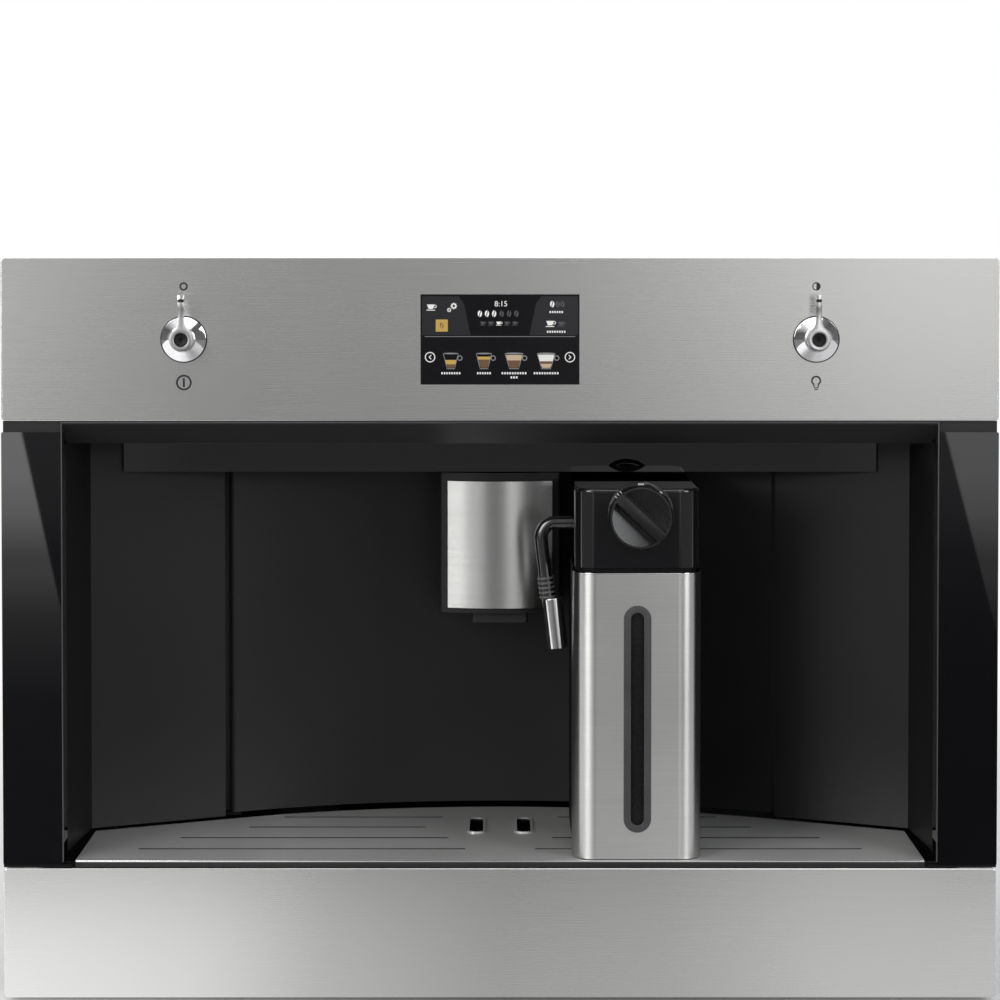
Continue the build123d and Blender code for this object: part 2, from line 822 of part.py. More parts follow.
def make_jug_body():
    """Open vessel; its foot stands just above the grid."""
    vessel = plan_prism(jug_plan(sleeve_sheet), jug_foot, sleeve_top)
    vessel -= plan_prism(jug_plan(sleeve_sheet + jug_wall), jug_foot + jug_wall, sleeve_top)
    rim = plan_prism(jug_plan(sleeve_sheet + 1.2), sleeve_top, lid_bottom)
    rim -= plan_prism(jug_plan(sleeve_sheet + jug_wall), sleeve_top, lid_bottom)
    slot = rounded_front(jug_x, (window_bottom + window_top) / 2, window_width,
                         window_top - window_bottom, window_width / 2 - 0.1, jug_front - 1, jug_front + 8)
    return vessel + rim - slot


def make_jug_sleeve():
    sleeve = plan_prism(jug_plan(0), jug_foot + seat_gap, sleeve_top)
    sleeve -= plan_prism(jug_plan(sleeve_sheet), jug_foot, sleeve_top)
    sleeve -= block(jug_x - jug_width, jug_x + jug_width, jug_front + sleeve_wrap, jug_back + 1,
                    jug_foot, sleeve_top)
    slot = rounded_front(jug_x, (window_bottom + window_top) / 2, window_width,
                         window_top - window_bottom, window_width / 2 - 0.1, jug_front - 1, jug_front + 3)
    return sleeve - slot


def make_jug_window():
    """Sight window: a frame that stands in the slot, with a long pane set back in it."""
    middle = (window_bottom + window_top) / 2
    height = window_top - window_bottom
    frame = rounded_front(jug_x, middle, window_width, height, window_width / 2 - 0.1,
                          jug_front + 0.2, jug_front + 0.2 + sleeve_sheet + jug_wall)
    pane_room = rounded_front(jug_x, middle, window_slot, height - (window_width - window_slot),
                              window_slot / 2 - 0.1, jug_front, jug_front + window_depth)
    return frame - pane_room


def make_jug_lid():
    """Lid with a skirt that drops into the vessel, a stem hole, a pipe socket and a steam socket."""
    lid = plan_prism(jug_plan(lid_inset), lid_bottom, lid_top)
    lid = fillet(lid.edges().group_by(Axis.Z)[-1], 2.0)
    lid += plan_prism(jug_plan(sleeve_sheet + jug_wall + seat_gap), lid_bottom - 8, lid_bottom)
    dial_seat = jug_front + lid_inset + dial_pocket
    stem_back = dial_seat + dial_stem_reach + 1
    lid -= rod_y(dial_x, dial_z, jug_front, stem_back, dial_stem_radius + run_fit)
    lid -= rod_y(dial_x, dial_z, jug_front - dial_depth, dial_seat, dial_radius + seat_gap)
    left = jug_x - jug_width / 2 + lid_inset
    lid -= rod_x(pipe_y, pipe_z, left - 1, left + pipe_socket + seat_gap, pipe_radius + run_fit)
    back = jug_back - lid_inset
    return lid - rod_y(jug_x, port_z, back - port_plug - 1, back, port_radius + run_fit)


def make_froth_dial():
    """Round dial with a raised grip bar across its face and a stem in the lid."""
    seat = jug_front + lid_inset + dial_pocket - seat_gap
    front = seat - dial_depth
    dial = rod_y(dial_x, dial_z, front, seat, dial_radius)
    face = front + dial_dish
    dial -= rod_y(dial_x, dial_z, front, face, dial_radius - dial_rim)
    reach = dial_radius - dial_rim / 2
    grip = dial_grip_width / 2
    bar = block(-reach, reach, front - dial_grip_rise, seat, -grip, grip)
    dial += Pos(dial_x, 0, dial_z) * Rot(0, dial_grip_turn, 0) * bar
    return dial + rod_y(dial_x, dial_z, seat, seat + dial_stem_reach, dial_stem_radius)


lid_left = jug_x - jug_width / 2 + lid_inset
lean_shift = sin(radians(pipe_lean))
lean_fall = cos(radians(pipe_lean))


def lower_run(distance):
    """A point on the pipe's leaning lower run, measured down from its bend's corner."""
    return pipe_corner_x + distance * lean_shift, pipe_z - distance * lean_fall


def leaning(solid, distance, shift=0.0):
    x, z = lower_run(distance)
    place = Pos(x + shift * lean_fall, pipe_y, z + shift * lean_shift)
    return place * Rot(0, 180 - pipe_lean, 0) * solid


pipe_run = (pipe_z - pipe_end_z) / lean_fall


def make_milk_pipe():
    """Bent pipe that turns in the lid's side, with its ribbed rubber sleeve."""
    start = (lid_left + pipe_socket, pipe_y, pipe_z)
    corner_x, corner_z = lower_run(0)
    end_x, end_z = lower_run(pipe_run)
    route = FilletPolyline(start, (corner_x, pipe_y, corner_z), (end_x, pipe_y, end_z), radius=pipe_bend)
    section = Plane(origin=start, z_dir=(-1, 0, 0)) * Circle(pipe_radius)
    pipe = sweep(section, path=route)
    for index in range(sleeve_ring_count):
        place = pipe_run - 1 - index * sleeve_ring_pitch
        ring = leaning(Cylinder(sleeve_ring_radius, sleeve_ring_height), place)
        pipe += ring
    core = sleeve_ring_count * sleeve_ring_pitch
    return pipe + leaning(Cylinder(sleeve_core_radius, core), pipe_run - core / 2)


def make_milk_nozzle():
    tube = Cylinder(spout_tube_radius, spout_tube_length)
    tube -= Pos(0, 0, spout_tube_end) * Cylinder(spout_tube_bore, spout_tube_length)
    tube = fillet(tube.edges().filter_by(GeomType.CIRCLE).group_by(Axis.Z)[0], 0.6)
    return leaning(tube, pipe_run + spout_tube_length / 2, spout_tube_shift)


# ================================================================ levers
def make_lever_bases():
    """Conical escutcheons on the upper panel."""
    cone = Cone(lever_base_radius, lever_base_top_radius, lever_base_height)
    cone -= Cylinder(lever_shaft_radius + run_fit, lever_base_height)
    cone = Rot(90, 0, 0) * cone
    bases = [Pos(x, -lever_base_height / 2, panel_middle) * cone for x in (-lever_x, lever_x)]
    return group(bases)


def make_lever(x):
    """Hub with a dished face, a thin arm that stands up and leans forward at its tip."""
    back = -lever_base_height - seat_gap
    front = back - lever_hub_length
    hub = rod_y(0, 0, front, back, lever_hub_radius)
    hub = chamfer(hub.edges().group_by(Axis.Y)[0], 0.8)
    hub -= rod_y(0, 0, front, front + lever_recess_depth, lever_recess_radius)
    arm_back = front + lever_arm_thick + 1.5
    low = lever_hub_radius - 2.5
    bend = lever_arm_length - 8
    shank = [(-lever_arm_width / 2, low), (lever_arm_width / 2, low),
             (lever_tip_width / 2, lever_arm_length), (-lever_tip_width / 2, lever_arm_length)]
    arm = front_prism(Polygon(*shank, align=None), front - lever_tip_bend, arm_back)
    shape = side_prism([(front + 1.5, low), (arm_back, low), (arm_back, bend),
                        (arm_back - lever_tip_bend, lever_arm_length),
                        (front - lever_tip_bend + 1.5, lever_arm_length), (front + 1.5, bend)],
                       -lever_tip_width, lever_tip_width)
    shaft = rod_y(0, 0, back, lever_shaft_reach, lever_shaft_radius)
    return Pos(x, 0, panel_middle) * (hub + (arm & shape) + shaft)


def make_rotary_switches():
    half = switch_size / 2
    pieces = []
    z = panel_middle
    for x in (-lever_x, lever_x):
        body = block(x - half, x + half, panel_sheet, lever_shaft_reach + 3, z - half, z + half)
        bore = rod_y(x, z, panel_sheet, lever_shaft_reach + seat_gap, lever_shaft_radius + run_fit)
        pieces.append(body - bore)
    return group(pieces)


def make_display_glass():
    w = display_width / 2 - display_glass_step
    h = display_height / 2 - display_glass_step
    back = display_glass_step + display_glass_thick
    return block(-w, w, display_glass_step, back, display_z - h, display_z + h)


def make_circuit_boards():
    """Screen module behind the glass and the power board on the left side plate."""
    y0 = display_glass_step + display_glass_thick
    w = display_width / 2 + module_margin
    h = display_height / 2 + module_margin
    module = block(-w, w, y0, y0 + module_depth, display_z - h, display_z + h)
    module -= block(-w, w, 0, panel_sheet + seat_gap, display_z - h, display_z + h)
    x = -inner_half + board_stand
    face = x + board_thick
    rear = board_front + board_length
    head = board_foot + board_height
    board = block(x, face, board_front, rear, board_foot, head)
    for y in (board_front + board_post_inset, rear - board_post_inset):
        for z in (board_foot + board_post_inset, head - board_post_inset):
            board += rod_x(y, z, -inner_half, x, board_post_radius)
    for along, up, rise, size in board_parts:
        y = board_front + along
        z = board_foot + up
        board += block(face, face + rise, y - size / 2, y + size / 2, z - size / 2, z + size / 2)
    return group([module, board])


# ================================================================ drawer
def make_drawer_front():
    return steel_box(floor_gap, lower_top)


frame_bottom = base_top + frame_lift
frame_top = frame_bottom + frame_sheet


def make_drawer_frame():
    """Sheet frame behind the drawer front, with side arms that run in the base's grooves."""
    plate = block(-frame_half, frame_half, panel_sheet, recess_depth + 8, frame_bottom, frame_top)
    plate += block(-grounds_half - 4, grounds_half + 4, panel_sheet, frame_end, frame_bottom, frame_top)
    plate += block(-frame_half + 10, frame_half - 10, panel_sheet, panel_sheet + frame_sheet,
                   frame_top, lower_top - 12)
    arm = block(frame_half - 6, frame_half, panel_sheet, frame_end,
                frame_bottom, runner_height + runner_thick)
    arm += block(frame_half, runner_tip, guide_start, frame_end, runner_height, runner_height + runner_thick)
    for item in both_sides(arm):
        plate += item
    return plate


basin_top = grid_height - grid_sheet
basin_gap = 6.0


def make_drip_basin():
    """Deep basin under the grid, with the float's guide pin."""
    outer, _ = tray_plan(basin_gap + 4, basin_front)
    inner, _ = tray_plan(basin_gap + 4 + basin_wall, basin_front + basin_wall)
    clip = block(-frame_half + 6 + seat_gap, frame_half - 6 - seat_gap, 0, case_depth, frame_top, basin_top)
    basin = plan_prism(outer, frame_top, basin_top) & clip
    room = block(-frame_half + 6 + seat_gap + basin_wall, frame_half - 6 - seat_gap - basin_wall,
                 0, case_depth, frame_top, basin_top)
    basin -= plan_prism(inner, frame_top + basin_wall, basin_top) & room
    pin = rod_z(float_x, float_y, frame_top, frame_top + basin_wall + float_pin_height, float_pin_radius)
    return basin + pin


def make_drip_grid():
    """Sheet lid of the basin with rows of slots and two rinse holes in raised rims."""
    plan, _ = tray_plan(grid_side_gap, grid_front)
    grid = plan_prism(plan, grid_height - grid_sheet, grid_height)
    wide = wall_x(side_wall_depth) - grid_side_gap
    grid += block(-wide, wide, grid_front, grid_front + grid_sheet, grid_height - grid_lip, grid_height)
    for y, x0, x1 in slot_rows:
        for x in (-(x0 + x1) / 2, (x0 + x1) / 2):
            slot = Pos(x, y) * SlotOverall(x1 - x0, slot_width)
            grid -= plan_prism(slot, grid_height - grid_sheet, grid_height)
    for x in (-rinse_hole_x, rinse_hole_x):
        corner = rinse_hole_width / 2 - 0.6
        hole = Pos(x, rinse_hole_y) * RectangleRounded(rinse_hole_width, rinse_hole_length, corner)
        rim = Pos(x, rinse_hole_y) * RectangleRounded(rinse_hole_width + 2 * rinse_rim,
                                                      rinse_hole_length + 2 * rinse_rim, corner + rinse_rim)
        grid += plan_prism(rim, grid_height, grid_height + rinse_rim_rise)
        grid -= plan_prism(hole, grid_height - grid_sheet, grid_height + rinse_rim_rise)
    return grid


def make_grounds_container():
    box = block(-grounds_half, grounds_half, grounds_start, grounds_end, frame_top, grounds_top)
    box = fillet(box.edges().filter_by(Axis.Z), 6.0)
    return box - block(-grounds_half + 2, grounds_half - 2, grounds_start + 2, grounds_end - 2,
                       frame_top + 2, grounds_top)


def make_float():
    foot = frame_top + basin_wall + seat_gap
    body = rod_z(float_x, float_y, foot, foot + float_height, float_radius)
    body = fillet(body.edges().filter_by(GeomType.CIRCLE), 1.5)
    collar = rod_z(float_x, float_y, foot + float_height - 1, foot + float_height + 8, 5.0)
    return body + collar - rod_z(float_x, float_y, foot, foot + float_height + 8, float_pin_radius + run_fit)


# ================================================================ hopper and grinder
def make_lid(x, width, y, length, top):
    """Flat lid with a hinge barrel along its back edge."""
    axis_y = lid_axis_y(y + length / 2)
    under = top + seat_gap
    plate = block(x - width / 2, x + width / 2, y - length / 2, axis_y, under, under + lid_sheet)
    barrel = rod_x(axis_y, lid_axis_z, x - width / 2 + lid_ear + seat_gap, x + width / 2 - lid_ear - seat_gap,
                   lid_barrel_radius)
    ear_room = block(x - width / 2, x - width / 2 + lid_ear + seat_gap, y + length / 2 - 6, axis_y,
                     under, under + lid_sheet)
    other_room = block(x + width / 2 - lid_ear - seat_gap, x + width / 2, y + length / 2 - 6, axis_y,
                       under, under + lid_sheet)
    tab_front = y - length / 2 + 4
    tab = block(x - 12, x + 12, tab_front, tab_front + 6, under + lid_sheet, under + lid_sheet + 1.4)
    lid = plate + barrel + tab - ear_room - other_room
    return lid - rod_x(axis_y, lid_axis_z, x - width / 2, x + width / 2, lid_pin_radius + run_fit)


def lid_ears(x, width, y, length, top):
    """Two ears on a vessel's back wall and the pin that they hold."""
    axis_y = lid_axis_y(y + length / 2)
    back = y + length / 2
    ear = None
    for x0 in (x - width / 2, x + width / 2 - lid_ear):
        piece = block(x0, x0 + lid_ear, back - 3, axis_y, top - 12, lid_axis_z)
        piece += rod_x(axis_y, lid_axis_z, x0, x0 + lid_ear, lid_barrel_radius - 0.4)
        piece += block(x0, x0 + lid_ear, back - 3, axis_y + lid_barrel_radius - 0.4, top - 12, lid_axis_z)
        ear = piece if ear is None else ear + piece
    return ear + rod_x(axis_y, lid_axis_z, x - width / 2, x + width / 2, lid_pin_radius)


def hopper_funnel(neck, width, length):
    """Tapered stretch of the hopper, from its square neck to its shoulder."""
    low = Pos(grinder_x, grinder_y, hopper_foot + 6) * Rectangle(neck, neck)
    return loft([low, Pos(grinder_x, grinder_y, hopper_shoulder) * Rectangle(width, length)])


def make_bean_hopper():
    w, d, wall = hopper_width, hopper_length, hopper_wall
    outer = block(grinder_x - w / 2, grinder_x + w / 2, grinder_y - d / 2, grinder_y + d / 2,
                  hopper_shoulder, hopper_top)
    outer += hopper_funnel(hopper_neck, w, d)
    outer += block(grinder_x - hopper_neck / 2, grinder_x + hopper_neck / 2,
                   grinder_y - hopper_neck / 2, grinder_y + hopper_neck / 2, hopper_foot, hopper_foot + 6)
    neck = hopper_neck - 2 * wall
    inner = block(grinder_x - w / 2 + wall, grinder_x + w / 2 - wall, grinder_y - d / 2 + wall,
                  grinder_y + d / 2 - wall, hopper_shoulder, hopper_top)
    inner += hopper_funnel(neck, w - 2 * wall, d - 2 * wall)
    inner += block(grinder_x - neck / 2, grinder_x + neck / 2, grinder_y - neck / 2, grinder_y + neck / 2,
                   hopper_foot, hopper_foot + 6)
    return outer - inner + lid_ears(grinder_x, w, grinder_y, d, hopper_top)


grinder_motor_top = shelf_top + grinder_motor_height
burr_bottom = grinder_motor_top + 26
upper_burr_bottom = burr_bottom + burr_height + burr_gap


def make_grinder_motor():
    body = rod_z(grinder_x, grinder_y, shelf_top, grinder_motor_top, grinder_motor_radius)
    body = fillet(body.edges().group_by(Axis.Z)[-1], 4.0)
    bore = burr_shaft_radius + run_fit
    foot = grinder_motor_top - burr_shaft_reach - 2
    return body - rod_z(grinder_x, grinder_y, foot, grinder_motor_top, bore)


def make_grinder_body():
    """Grinding case on the motor, and the fixed upper burr inside it."""
    case = rod_z(grinder_x, grinder_y, grinder_motor_top, hopper_foot, grinder_body_radius)
    front = grinder_y - grinder_body_radius
    case += block(grinder_x - 20, grinder_x + 20, front - 4, grinder_y, burr_bottom + 4, hopper_foot - 8)
    case -= rod_z(grinder_x, grinder_y, burr_bottom - 4, hopper_foot, grind_cavity_radius)
    case -= rod_z(grinder_x, grinder_y, grinder_motor_top, burr_bottom, burr_shaft_radius + run_fit)
    chute = block(grinder_x + 20, grinder_x + grinder_body_radius + 4, grinder_y - 8, grinder_y + 8,
                  burr_bottom - 2, burr_bottom + 12)
    case -= chute
    case -= rod_y(grinder_x, hopper_foot - 26, front - 5, grinder_y - grind_cavity_radius - 2,
                  lever_shaft_radius + run_fit)
    burr_top = upper_burr_bottom + burr_height + 4
    top_burr = rod_z(grinder_x, grinder_y, upper_burr_bottom, burr_top, grind_cavity_radius)
    top_burr -= rod_z(grinder_x, grinder_y, upper_burr_bottom, burr_top, burr_radius / 2)
    lid = rod_z(grinder_x, grinder_y, hopper_foot - 5, hopper_foot, grind_cavity_radius)
    lid -= block(grinder_x - 18, grinder_x + 18, grinder_y - 18, grinder_y + 18, hopper_foot - 5, hopper_foot)
    return group([case, top_burr, lid])


def make_lower_burr():
    """Turning burr on the motor's shaft, cut with radial teeth."""
    burr = rod_z(grinder_x, grinder_y, burr_bottom, burr_bottom + burr_height, burr_radius)
    middle = burr_radius - burr_tooth_length / 2 + burr_tooth_depth
    for index in range(burr_tooth_count):
        turn = Rot(0, 0, index * 360 / burr_tooth_count)
        tooth = Pos(grinder_x, grinder_y, burr_bottom + burr_height) * turn
        burr -= tooth * Pos(middle, 0, 0) * Box(burr_tooth_length, burr_tooth_width, 2 * burr_tooth_depth)
    return burr + rod_z(grinder_x, grinder_y, grinder_motor_top - burr_shaft_reach, burr_bottom,
                        burr_shaft_radius)


def make_grind_dial():
    front = grinder_y - grinder_body_radius - 4
    z = hopper_foot - 26
    dial = rod_y(grinder_x, z, front - seat_gap - grind_dial_width, front - seat_gap, grind_dial_radius)
    for index in range(16):
        angle = radians(index * 22.5)
        x = grinder_x + (grind_dial_radius + 0.6) * cos(angle)
        dial -= rod_y(x, z + (grind_dial_radius + 0.6) * sin(angle), front - seat_gap - grind_dial_width,
                      front - seat_gap, 1.4)
    tip = grinder_y - grind_cavity_radius - 2.5
    return dial + rod_y(grinder_x, z, front - seat_gap, tip, lever_shaft_radius)


# ================================================================ tank
def tank_plan(inset):
    return Pos(tank_x, tank_y) * RectangleRounded(tank_width - 2 * inset, tank_length - 2 * inset,
                                                  tank_corner - inset)


def make_water_tank():
    tank = plan_prism(tank_plan(0), tank_bottom, tank_top)
    tank -= plan_prism(tank_plan(tank_wall), tank_bottom + tank_wall, tank_top)
    tank += lid_ears(tank_x, tank_width, tank_y, tank_length, tank_top)
    return tank + rod_z(tank_x, tank_y, tank_bottom - valve_length, tank_bottom, valve_radius)


def make_tank_seat():
    """Stand on the works shelf with a socket for the tank's valve."""
    top = tank_bottom - seat_gap
    x0, x1 = tank_x - tank_width / 2, tank_x + tank_width / 2
    y0, y1 = tank_y - tank_length / 2, tank_y + tank_length / 2
    seat = block(x0, x1, y0, y1, top - 8, top)
    for side in (x0, x1 - seat_sheet):
        seat += block(side, side + seat_sheet, y0, y1, shelf_top, top - 8)
    return seat - rod_z(tank_x, tank_y, top - valve_length, top, valve_radius + seat_gap)


# ================================================================ brew unit, boilers, pump
def make_brew_frame():
    """Two side plates, a head bridge with the fixed piston, and a foot bridge."""
    plate = block(-brew_half, -brew_half + brew_plate, brew_front, brew_back, shelf_top, brew_top)
    bridge = block(-brew_half, brew_half, brew_front, brew_back, brew_top - 12, brew_top)
    foot = block(-brew_half, brew_half, brew_back - 6, brew_back, shelf_top, shelf_top + 12)
    frame = plate + mirror(plate, about=Plane.YZ) + bridge + foot
    bearing = block(-14, 14, brew_back, spindle_y + 12, brew_top - 12, brew_top)
    bearing -= rod_z(0, spindle_y, brew_top - 12, brew_top, spindle_radius + run_fit)
    frame += bearing
    piston_foot = chamber_bottom + chamber_height + chamber_travel - piston_entry
    piston = rod_z(0, brew_y, piston_foot, brew_top - 12, piston_radius)
    return group([frame, piston])


def make_brew_chamber():
    """Brewing cylinder on an arm whose nut rides on the spindle."""
    top = chamber_bottom + chamber_height
    cup = rod_z(0, brew_y, chamber_bottom, top, chamber_radius)
    arm = block(-12, 12, brew_y, spindle_y, chamber_bottom + 8, chamber_bottom + 24)
    nut = rod_z(0, spindle_y, chamber_bottom + 4, chamber_bottom + 28, spindle_radius + 4)
    chamber = cup + arm + nut
    chamber -= rod_z(0, brew_y, chamber_bottom + 22, top, chamber_bore)
    return chamber - rod_z(0, spindle_y, chamber_bottom, top, spindle_radius + run_fit)


def make_brew_spindle():
    foot = shelf_top + gearbox_height
    rod = rod_z(0, spindle_y, foot - spindle_seat, brew_top - 0.5, spindle_radius)
    return rod - block(-spindle_radius, spindle_radius, spindle_y - 0.6, spindle_y + 0.6,
                       brew_top - 2, brew_top)


def make_gear_motor():
    right = gearbox_width - gearbox_left
    front = spindle_y - gearbox_front
    foot = shelf_top + gearbox_height
    box = block(-gearbox_left, right, front, front + gearbox_depth, shelf_top, foot)
    box += rod_z(right, spindle_y + motor_behind, shelf_top, foot + motor_rise, motor_radius)
    return box - rod_z(0, spindle_y, foot - spindle_seat - seat_gap, foot, spindle_radius + run_fit)


def make_boilers():
    """Coffee boiler on two saddles, and the upright steam boiler."""
    end = boiler_start + coffee_boiler_length
    coffee = rod_y(coffee_boiler_x, coffee_boiler_z, boiler_start, end, coffee_boiler_radius)
    coffee = fillet(coffee.edges().filter_by(GeomType.CIRCLE), 4.0)
    for y in (boiler_start + 12, end - 20):
        coffee += block(coffee_boiler_x - 18, coffee_boiler_x + 18, y, y + 8, shelf_top,
                        coffee_boiler_z - coffee_boiler_radius / 2)
    steam = rod_z(tank_x, tank_y, shelf_top, shelf_top + steam_boiler_height, steam_boiler_radius)
    steam = fillet(steam.edges().filter_by(GeomType.CIRCLE).group_by(Axis.Z)[-1], 6.0)
    return group([coffee, steam])


pump_z = base_top + pump_radius + 6


def make_pump():
    """Vibration pump lying on two cradles on the base plate."""
    x0, x1 = pump_x - pump_length / 2, pump_x + pump_length / 2
    pump = rod_x(pump_y, pump_z, x0 + 14, x1 - 14, pump_radius)
    pump += rod_x(pump_y, pump_z, x0, x1, 9.0)
    for x in (x0 + 20, x1 - 28):
        pump += block(x, x + 8, pump_y - 16, pump_y + 16, base_top, pump_z)
    return pump


def hose(points, bend):
    route = FilletPolyline(*points, radius=bend)
    first, second = Vector(*points[0]), Vector(*points[1])
    section = Plane(origin=points[0], z_dir=second - first) * Circle(hose_radius)
    return sweep(section, path=route)


def make_hoses():
    """Water line from the pump up to the coffee boiler, and from there to the piston."""
    boiler_top = coffee_boiler_z + coffee_boiler_radius
    boiler_front = boiler_start + 20
    boiler_rear = boiler_start + coffee_boiler_length - 20
    right_end = pump_x + pump_length / 2
    feed_z = boiler_top + 40
    feed = hose([(right_end, pump_y, pump_z), (riser_x, pump_y, pump_z), (riser_x, riser_y, pump_z),
                 (riser_x, riser_y, feed_z), (coffee_boiler_x, riser_y, feed_z),
                 (coffee_boiler_x, boiler_rear, feed_z),
                 (coffee_boiler_x, boiler_rear, boiler_top)], hose_bend)
    brew_in = brew_top + 14
    brew = hose([(coffee_boiler_x, boiler_front, boiler_top), (coffee_boiler_x, boiler_front, brew_in),
                 (0, boiler_front, brew_in), (0, boiler_front, brew_top)], hose_bend)
    return group([feed, brew])


# ================================================================ power inlet
def make_power_inlet():
    w, h = inlet_width / 2, inlet_height / 2
    body = block(inlet_x - w, inlet_x + w, back_inside - 22, case_depth, inlet_z - h, inlet_z + h)
    body -= block(inlet_x - 12.5, inlet_x + 12.5, case_depth - 18, case_depth, inlet_z - 8.5, inlet_z + 8.5)
    for x, z in ((-7, -2), (0, 2), (7, -2)):
        body += block(inlet_x + x - 1, inlet_x + x + 1, case_depth - 18, case_depth - 2,
                      inlet_z + z - 2, inlet_z + z + 2)
    return body


# ================================================================ assembly
origin_y = (case_depth - lever_base_height - seat_gap - lever_hub_length - lever_tip_bend + 1.5) / 2

nodes = {
    "fixed_rails": make_fixed_rails(),
    "middle_rails": make_middle_rails(),
    "inner_rails": make_inner_rails(),
    "chassis_base": make_chassis_base(),
    "side_plates": make_side_plates(),
    "back_cover": make_back_cover(),
    "top_cover": make_top_cover(),
    "screws": make_screws(),
    "service_shelf": make_service_shelf(),
    "upper_fascia": make_upper_fascia(),
    "side_columns": make_side_columns(),
    "visor": make_visor(),
    "recess_walls": make_recess_walls(),
    "recess_ceiling": make_recess_ceiling(),
    "reveal_plate": make_reveal_plate(),
    "upper_deck": make_upper_deck(),
    "hinge_pins": make_hinge_pins(),
    "light_bar": make_light_bar(),
    "service_door": make_service_door(),
    "steam_port": make_steam_port(),
    "spout_shell": make_spout_shell(),
    "spout_cover": make_spout_cover(),
    "spout_nozzles": make_spout_nozzles(),
    "jug_body": make_jug_body(),
    "jug_sleeve": make_jug_sleeve(),
    "jug_window": make_jug_window(),
    "jug_lid": make_jug_lid(),
    "froth_dial": make_froth_dial(),
    "milk_pipe": make_milk_pipe(),
    "milk_nozzle": make_milk_nozzle(),
    "lever_bases": make_lever_bases(),
    "left_lever": make_lever(-lever_x),
    "right_lever": make_lever(lever_x),
    "rotary_switches": make_rotary_switches(),
    "display_glass": make_display_glass(),
    "circuit_boards": make_circuit_boards(),
    "drawer_front": make_drawer_front(),
    "drawer_frame": make_drawer_frame(),
    "drip_basin": make_drip_basin(),
    "drip_grid": make_drip_grid(),
    "grounds_container": make_grounds_container(),
    "float": make_float(),
    "bean_hopper": make_bean_hopper(),
    "hopper_lid": make_lid(grinder_x, hopper_width, grinder_y, hopper_length, hopper_top),
    "grinder_motor": make_grinder_motor(),
    "grinder_body": make_grinder_body(),
    "lower_burr": make_lower_burr(),
    "grind_dial": make_grind_dial(),
    "water_tank": make_water_tank(),
    "tank_lid": make_lid(tank_x, tank_width, tank_y, tank_length, tank_top),
    "tank_seat": make_tank_seat(),
    "brew_frame": make_brew_frame(),
    "brew_chamber": make_brew_chamber(),
    "brew_spindle": make_brew_spindle(),
    "gear_motor": make_gear_motor(),
    "boilers": make_boilers(),
    "pump": make_pump(),
    "hoses": make_hoses(),
    "power_inlet": make_power_inlet(),
}

os.makedirs("parts", exist_ok=True)
for name, shape in nodes.items():
    export_step(Pos(0, -origin_y, 0) * shape, f"parts/{name}.step")
print("origin_y", round(origin_y, 4), "nodes", len(nodes))
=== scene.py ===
import math
import bpy
import bmesh
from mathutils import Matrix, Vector


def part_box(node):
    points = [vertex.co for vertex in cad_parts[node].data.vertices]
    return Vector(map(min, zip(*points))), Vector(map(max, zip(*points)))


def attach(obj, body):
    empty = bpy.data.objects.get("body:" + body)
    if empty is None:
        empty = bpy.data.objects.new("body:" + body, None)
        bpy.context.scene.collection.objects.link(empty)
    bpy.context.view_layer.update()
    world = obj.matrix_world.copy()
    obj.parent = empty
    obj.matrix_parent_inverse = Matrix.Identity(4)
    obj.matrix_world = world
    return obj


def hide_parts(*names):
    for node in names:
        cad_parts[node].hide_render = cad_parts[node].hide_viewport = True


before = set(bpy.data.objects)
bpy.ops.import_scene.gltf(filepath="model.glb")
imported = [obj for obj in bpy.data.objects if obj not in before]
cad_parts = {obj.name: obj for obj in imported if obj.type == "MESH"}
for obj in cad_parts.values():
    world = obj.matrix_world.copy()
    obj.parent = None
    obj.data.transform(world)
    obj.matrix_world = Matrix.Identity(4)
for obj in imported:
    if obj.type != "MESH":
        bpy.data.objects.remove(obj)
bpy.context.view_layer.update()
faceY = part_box("upper_fascia")[0].y   # front of the steel panels
mm = 0.001
print("frame loaded:", len(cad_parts), "nodes")


# camera, lamps and backdrop

cameraLook = {
    "distance": 1.70,      # from the steel front
    "height": 0.4522,
    "pitch": 1.79,         # degrees down
    "lens": 102.46, "sensor": 36,
    "shift": -0.16,
    "clip": (0.05, 60),
}

lampLook = [
    # name, place, size, watts, colour
    ("leftSoftbox", (-1.25, -1.55, 1.15), (0.9, 1.3), 17.0, (1.0, 0.99, 0.97)),
    ("rightSoftbox", (1.35, -1.35, 1.0), (0.7, 1.2), 12.0, (0.97, 0.985, 1.0)),
    ("topSoftbox", (0.0, -0.5, 1.9), (1.6, 1.0), 9.0, (1.0, 1.0, 1.0)),
    ("rearSoftbox", (-0.4, 1.7, 1.3), (1.4, 1.0), 12.0, (1.0, 1.0, 1.0)),
]
lampAim = (0, 0, 0.2)

worldLook = {
    "ambient": 0.50,
    "frontEdge": 0.1,      # the studio's front half fades in over this much of the direction
    # what polished parts see of the studio in front, from left to right: place, brightness
    "studio": [(0.0, 0.15), (0.06, 0.10), (0.15, 0.65), (0.22, 1.0), (0.34, 1.08), (0.41, 0.37),
               (0.465, 0.31), (0.50, 0.30), (0.535, 0.56), (0.5625, 1.45), (0.595, 1.3), (0.64, 0.50),
               (0.73, 0.20), (0.86, 0.10), (1.0, 0.15)],
}

